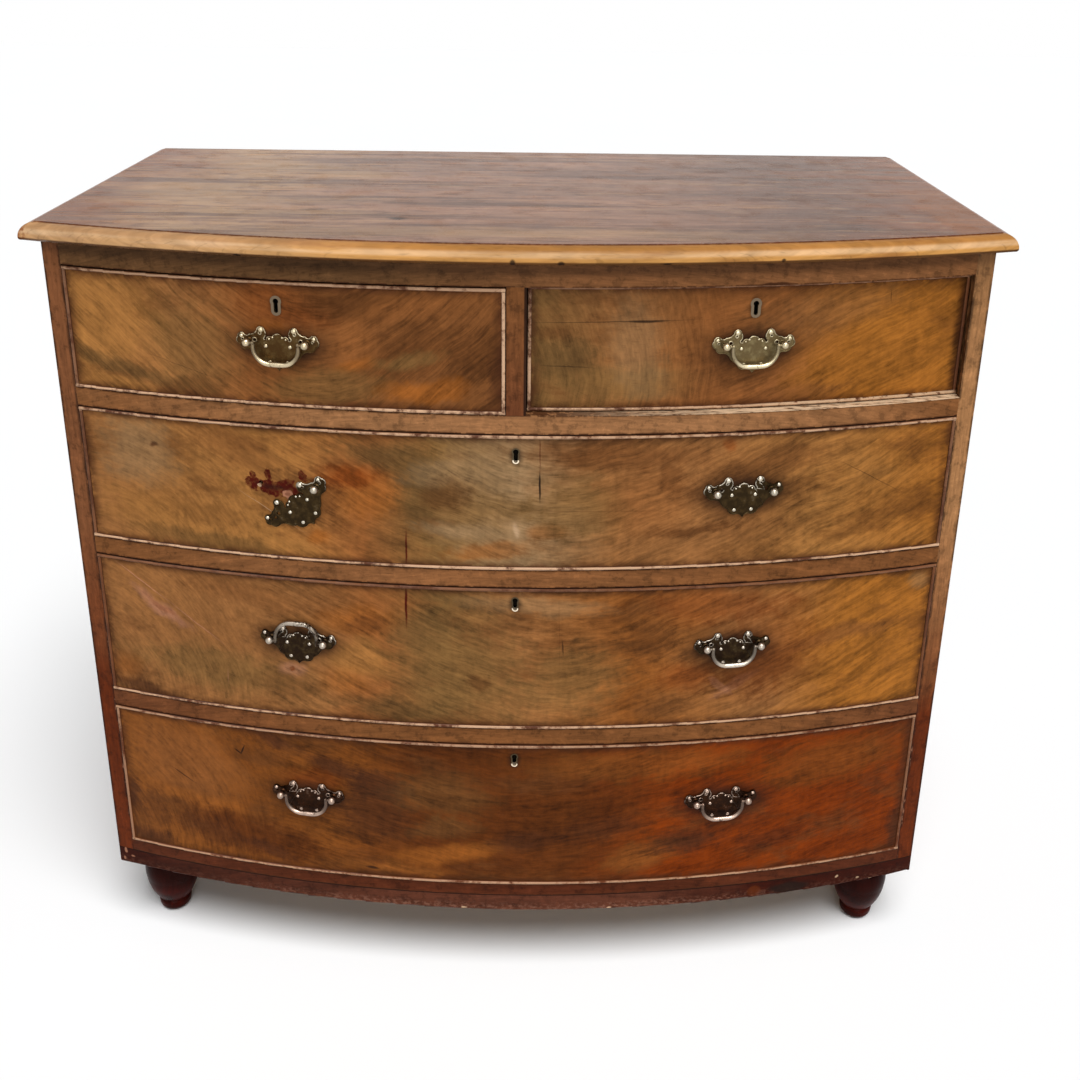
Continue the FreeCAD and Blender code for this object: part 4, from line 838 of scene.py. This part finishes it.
def bare_material(name, run, tone, ring_tone, boards=None):
    """Unpolished wood inside the chest: dry, with darker summer rings and dust. boards is the
    first edge and the width of upright boards, each of which has its own tone."""
    graph = Graph(name)
    x, y, z = graph.split(graph.warped(5, 8 * MM))
    if boards:
        place = (graph.x - boards[0]) * (1 / boards[1])
        board = graph.math("FLOOR", place)
        x = x + board * 3.7
    along, across = {"x": (x, y + z), "y": (y, x + z), "z": (z, x + y), "level": (x + y, z)}[run]
    rings = graph.streaks(along * 2, across * 55, 0, 3, 0.5)
    saw = graph.streaks(along * 60, across * 300, 0, 3, 0.6)
    dust = graph.noise(9, 5, 0.65)
    graph.colour = graph.mix(tone, ring_tone, rings.step(0.4, 0.7))
    graph.coat(ring_tone, dust.step(0.45, 0.75) * 0.6)
    if boards:
        graph.shade(0.72 + graph.math("FRACT", board * 0.618) * 0.5)
        seam = abs(graph.math("FRACT", place + 0.5) - 0.5)
        wide = 1 * MM / boards[1]
        graph.coat(INK, seam.step(wide * 2.5, wide) * 0.85)
    value = (saw - 0.5) * 0.6 + (rings - 0.5) * 0.4
    graph.shade(1 + value * 0.5)
    return graph.finish(0.62 + (saw - 0.5) * 0.2, value, 0.25 * MM, 0.1)


# ---- brass
def brass_material(name, drawer, rubbed, level=None, middle=None):
    """Cast brass. rubbed is how much of it is bright, from 0 to 1: kept bright by hands, and in part a
    painted highlight. With a level, only what lies above that height is bright, a painted highlight
    along the upper edges. With a middle, what is far from it in x is less so."""
    dark, bright, bloom = DRAWERS[drawer]["brass"]
    graph = Graph(name)
    pits = graph.noise(420, 4, 0.7)
    patches = graph.noise(120, 4, 0.6)
    height = proud(graph, inset_of(drawer))
    graph.colour = graph.mix(dark, bloom, patches.step(0.4, 0.68))
    worn = (pits * 0.4 + patches * 0.6).step(0.62 - 0.3 * rubbed, 0.74 - 0.3 * rubbed)
    share = worn * rubbed
    # With a level, the bright share is kept to the upper edges: a painted highlight.
    if level is not None:
        share = share * graph.z.step(level - 4 * MM, level + 4 * MM)
    # The post heads, well proud of the wood, are painted bright: wear with a painted highlight.
    if middle is None:
        heads = height.step(6 * MM, 10 * MM) * (worn * 0.3 + 0.7)
        share = graph.math("MAXIMUM", share, heads)
    else:
        share = share * abs(graph.x - middle).step(14 * MM, 25 * MM, 1, 0.25)
    graph.coat(bright, share)
    roughness = 0.42 - share * 0.12 + (pits - 0.5) * 0.25
    return graph.finish(roughness, pits + patches, 0.22 * MM, 0.5, 1)


def lock_material(drawer):
    """Dull brass, with painted shade deep inside the keyhole. The long drawers' keyholes have liners,
    with a painted highlight on their lower end.
    """
    graph = Graph(drawer + "_lock_brass")
    pits = graph.noise(300, 4, 0.6)
    patches = graph.noise(60, 4, 0.6)
    height = proud(graph, inset_of(drawer))
    plain = drawer.startswith("short")
    graph.colour = graph.mix(LOCK, LOCK_DARK, patches.step(0.4, 0.7))
    graph.coat(PLAIN_RIM if plain else LINER_RIM, height.step(-0.5 * MM, 0.1 * MM) * 0.8)
    # Painted shade: near black deep inside the keyhole.
    graph.coat(KEYHOLE_SHADE, height.band(-8 * MM, 4 * MM, 2.5 * MM))
    if not plain:
        # Painted highlight: the lower end of the liner, inside the hole, is pale.
        foot = keyhole_of(drawer)[0].z
        end = graph.z.step(foot + 5 * MM, foot + 3.8 * MM) * height.step(-9 * MM, -6 * MM)
        graph.coat(LINER, end)
    return graph.finish(0.5 + (pits - 0.5) * 0.25, pits, 0.12 * MM, 0.5, 1)


# ---- castings on the plates
POST_PLACE = 33.5 * MM
PLATE_FACE = 1.6 * MM
PLATE_REACH = 62 * MM
RIM_RADIUS = 0.75 * MM
SMALLEST_LOOP = 1.2 * MM
# Points closer than WELD count as one, and those within FLAT of the plate's face lie on it.
WELD, FLAT = 0.02 * MM, 0.03 * MM
# Studs cast on the right half of each plate: place from the middle between the posts, radius and
# height. The low one is flat, to let the bail swing past it.
STUDS = (
    (14, -5.2, 2.2, 1.3), (10.2, -24, 2.1, 0.4), (18.9, 13.4, 2.9, 1.3), (5.4, 5.4, 1.3, 1.3),
    (9.6, 3.2, 1.2, 1.3), (41.6, 5.6, 2.3, 1.3),
)


def swung(drawer, index):
    """The turn of a plate about its right post, for the one that has lost its left post."""
    if (drawer, index) != LOOSE_HANDLE:
        return Matrix.Identity(4)
    pivot = Matrix.Translation((POST_PLACE, 0, 0))
    return pivot @ Matrix.Rotation(-LOOSE_SWING, 4, "Y") @ pivot.inverted()


def rim_loops(drawer, placed):
    """The closed outlines of the plate's front face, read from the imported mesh."""
    mesh = nodes[drawer + "_handle_mounts"].data
    inward = placed.inverted()
    local = [inward @ v.co for v in mesh.vertices]
    keys = [tuple(round(c / WELD) for c in p) for p in local]
    flat = [abs(p.y + PLATE_FACE) < FLAT and abs(p.x) < PLATE_REACH for p in local]
    count, spot = {}, {}
    for face in mesh.polygons:
        corners = list(face.vertices)
        if not all(flat[i] for i in corners) or face.normal @ placed.to_3x3().col[1] > -0.9:
            continue
        for first, second in zip(corners, corners[1:] + corners[:1]):
            pair = frozenset((keys[first], keys[second]))
            count[pair] = count.get(pair, 0) + 1
            spot[keys[first]], spot[keys[second]] = local[first], local[second]
    beside = {}
    for pair in (p for p, n in count.items() if n == 1 and len(p) == 2):
        first, second = pair
        beside.setdefault(first, []).append(second)
        beside.setdefault(second, []).append(first)
    loops = []
    while beside:
        start = min(beside)
        loop, last, here = [start], None, start
        while True:
            ahead = [k for k in beside[here] if k != last and (k not in loop or k == start)]
            if not ahead or ahead[0] == start:
                break
            last, here = here, ahead[0]
            loop.append(here)
        for key in loop:
            beside.pop(key, None)
        loops.append([spot[key] for key in loop])
    return loops


def add_rims(drawer, material):
    """A rounded rim along the outline and the piercings of every plate of a drawer."""
    curve = bpy.data.curves.new(drawer + "_plate_rims", "CURVE")
    curve.dimensions = "3D"
    curve.bevel_depth = RIM_RADIUS
    curve.bevel_resolution = 2
    posts = [Vector((side * POST_PLACE, -PLATE_FACE, 0)) for side in (-1, 1)]
    for _, placed in handle_frames(drawer):
        for loop in rim_loops(drawer, placed):
            middle = sum(loop, Vector()) / len(loop)
            wide = max((p - middle).length for p in loop)
            round_post = min((middle - post).length for post in posts) < 1 * MM
            if round_post or wide < SMALLEST_LOOP or len(loop) < 6:
                continue
            spline = curve.splines.new("POLY")
            spline.points.add(len(loop) - 1)
            for point, place in zip(spline.points, loop):
                point.co = (*(placed @ place), 1)
            spline.use_cyclic_u = True
    curve.materials.append(material)
    rims = bpy.data.objects.new(drawer + "_plate_rims", curve)
    bpy.context.scene.collection.objects.link(rims)
    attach(rims, drawer)


def add_dome(shape, matrix, radius, height):
    """A low round stud: a half ball, flattened to its height, that points along -y."""
    made = bmesh.ops.create_uvsphere(shape, u_segments=14, v_segments=8, radius=radius)
    squeeze = Matrix.Diagonal((1, height / radius, 1, 1))
    placed = matrix @ squeeze @ Matrix.Rotation(math.pi / 2, 4, "X")
    bmesh.ops.transform(shape, matrix=placed, verts=made["verts"])


def mesh_piece(name, shape, material):
    mesh = bpy.data.meshes.new(name)
    shape.to_mesh(mesh)
    shape.free()
    for face in mesh.polygons:
        face.use_smooth = True
    mesh.materials.append(material)
    piece = bpy.data.objects.new(name, mesh)
    bpy.context.scene.collection.objects.link(piece)
    return piece


def add_studs(drawer, material):
    shape = bmesh.new()
    for index, placed in handle_frames(drawer):
        for x, z, radius, height in STUDS:
            for side in (-1, 1):
                spot = Matrix.Translation((side * x * MM, -PLATE_FACE, z * MM))
                add_dome(shape, placed @ swung(drawer, index) @ spot, radius * MM, height * MM)
    studs = mesh_piece(drawer + "_plate_studs", shape, material)
    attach(studs, drawer)


# ---- nails in the back
BACK_BOARDS = 5
NAIL_SEED = 11


def nail_material():
    graph = Graph("nail_iron")
    rust = graph.noise(260, 4, 0.7)
    graph.colour = graph.mix(IRON, IRON_RUST, rust.step(0.42, 0.62))
    return graph.finish(0.6 + (rust - 0.5) * 0.3, rust, 0.2 * MM, 0.4, 0.6)


def add_nails():
    """Hand-driven nails, three rows of three in every back board, a little out of line."""
    low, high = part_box("back_boards")
    width = (high.x - low.x) / BACK_BOARDS
    chance = random.Random(NAIL_SEED)
    rows = (low.z + 14 * MM, low.z + (high.z - low.z) * 0.52, high.z - 13 * MM)
    shape = bmesh.new()
    for board in range(BACK_BOARDS):
        for share in (0.14, 0.5, 0.86):
            for row in rows:
                x = low.x + width * (board + share) + chance.uniform(-4, 4) * MM
                z = row + chance.uniform(-3, 3) * MM
                spot = Matrix.Translation((x, high.y, z)) @ Matrix.Rotation(math.pi, 4, "Z")
                add_dome(shape, spot, chance.uniform(2.6, 3.2) * MM, 0.8 * MM)
    nails = mesh_piece("back_board_nails", shape, nail_material())
    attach(nails, "carcass")


# ---- dressing every node
def dress_case():
    rail_materials()
    upright_materials()
    plinth_material()
    top_material()
    foot_material()
    low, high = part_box("back_boards")
    boards = (low.x, (high.x - low.x) / BACK_BOARDS)
    paint("back_boards", bare_material("back_pine", "z", PINE_DARK, DARK_TONE_AND_RAIL_SHADOW, boards))
    paint("bottom_board", bare_material("bottom_pine", "x", PINE, PINE_DARK))
    paint("runners_stops_and_blocks", bare_material("runner_pine", "y", PINE, PINE_DARK))
    add_nails()


def dress_drawers():
    for drawer, look in DRAWERS.items():
        paint(drawer + "_front", front_material(drawer, look))
        paint(drawer + "_cockbead", bead_material(drawer, look))
        paint(drawer + "_box", bare_material(drawer + "_lining", "level", OAK, OAK_DARK))
        paint(drawer + "_bottom", bare_material(drawer + "_base", "x", PINE, PINE_DARK))
        lock = lock_material(drawer)
        paint(drawer + "_lock", lock)
        paint(drawer + "_lock_bolt", lock)
        paint(drawer + "_handle_mounts", brass_material(drawer + "_plate_brass", drawer, 0.15))
        level = next(handle_frames(drawer))[1].translation.z
        # The rims are bright along their upper edges only, a painted highlight; the studs are bright all
        # over, wear with a painted highlight.
        add_rims(drawer, brass_material(drawer + "_rim_brass", drawer, 0.66, level))
        add_studs(drawer, brass_material(drawer + "_stud_brass", drawer, 1))
    for bail in (name for name in nodes if name.endswith("bail")):
        drawer = next(d for d in DRAWERS if bail.startswith(d[: -len("_drawer")]))
        low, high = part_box(bail)
        middle = (low + high) / 2
        thrown_up = middle.z > next(handle_frames(drawer))[1].translation.z
        rubbed = 0.75 if thrown_up else 0.95
        paint(bail, brass_material(bail + "_brass", drawer, rubbed, middle=middle.x))


# ---- floor, light and camera
FLOOR_REACH = 14
FILL_STRENGTH = 0.09
EYE = Vector((0.0274, -1.5484, 1.2958))
YAW, PITCH, ROLL = (math.radians(a) for a in (0.05, -19.86, -0.68))
LENS, SENSOR, SHIFT = 40.73, 36, -0.148


def add_stage():
    graph = Graph("floor_paper")
    graph.colour = graph.wire("CombineXYZ", *PAPER)
    graph.shade(1 + (graph.noise(1.5, 2) - 0.5) * 0.01)
    shape = bmesh.new()
    bmesh.ops.create_grid(shape, x_segments=8, y_segments=8, size=FLOOR_REACH)
    floor = mesh_piece("floor", shape, graph.finish(0.9, specular=0))
    floor.location.z = -0.2 * MM


def add_world():
    """White to the camera and in what metal and polish reflect, and a softer white as the fill."""
    world = bpy.data.worlds.new("studio")
    tree = Tree(world)
    path = tree.add("LightPath")
    camera, glossy, through = (
        Wire(tree, path.outputs[name])
        for name in ("Is Camera Ray", "Is Glossy Ray", "Is Transmission Ray")
    )
    shown = tree.math("MAXIMUM", tree.math("MAXIMUM", camera, glossy), through)
    fill, white = (tree.wire("Background", WHITE, strength)
                   for strength in (FILL_STRENGTH, 1))
    tree.add("OutputWorld", tree.wire("MixShader", shown, fill, white))
    bpy.context.scene.world = world


def add_lights():
    """Broad soft lights, from above and from low in front."""
    for name, direction, strength, spread in (
        ("overhead", (0.14, -0.42, 1), 3.25, 36), ("front", (0.1, -1, 0.16), 1.05, 30),
    ):
        lamp = bpy.data.lights.new(name, "SUN")
        lamp.energy = strength
        lamp.angle = math.radians(spread)
        light = bpy.data.objects.new(name, lamp)
        light.rotation_mode = "QUATERNION"
        light.rotation_quaternion = Vector(direction).to_track_quat("Z", "Y")
        bpy.context.scene.collection.objects.link(light)


def add_camera():
    lens = bpy.data.cameras.new("camera")
    lens.sensor_width = SENSOR
    lens.lens = LENS
    lens.shift_y = SHIFT
    lens.clip_start, lens.clip_end = 0.05, 60
    camera = bpy.data.objects.new("camera", lens)
    turn = Matrix.Identity(3)
    for angle, axis in ((YAW, "Z"), (PITCH, "X"), (ROLL, "Y")):
        turn = turn @ Matrix.Rotation(angle, 3, axis)
    axes = Matrix((turn.col[0], turn.col[2], -turn.col[1])).transposed()
    camera.matrix_world = Matrix.Translation(EYE) @ axes.to_4x4()
    bpy.context.scene.collection.objects.link(camera)
    bpy.context.scene.camera = camera


dress_case()
dress_drawers()
add_stage()
add_world()
add_lights()
add_camera()
bpy.context.scene.view_settings.view_transform = "Standard"
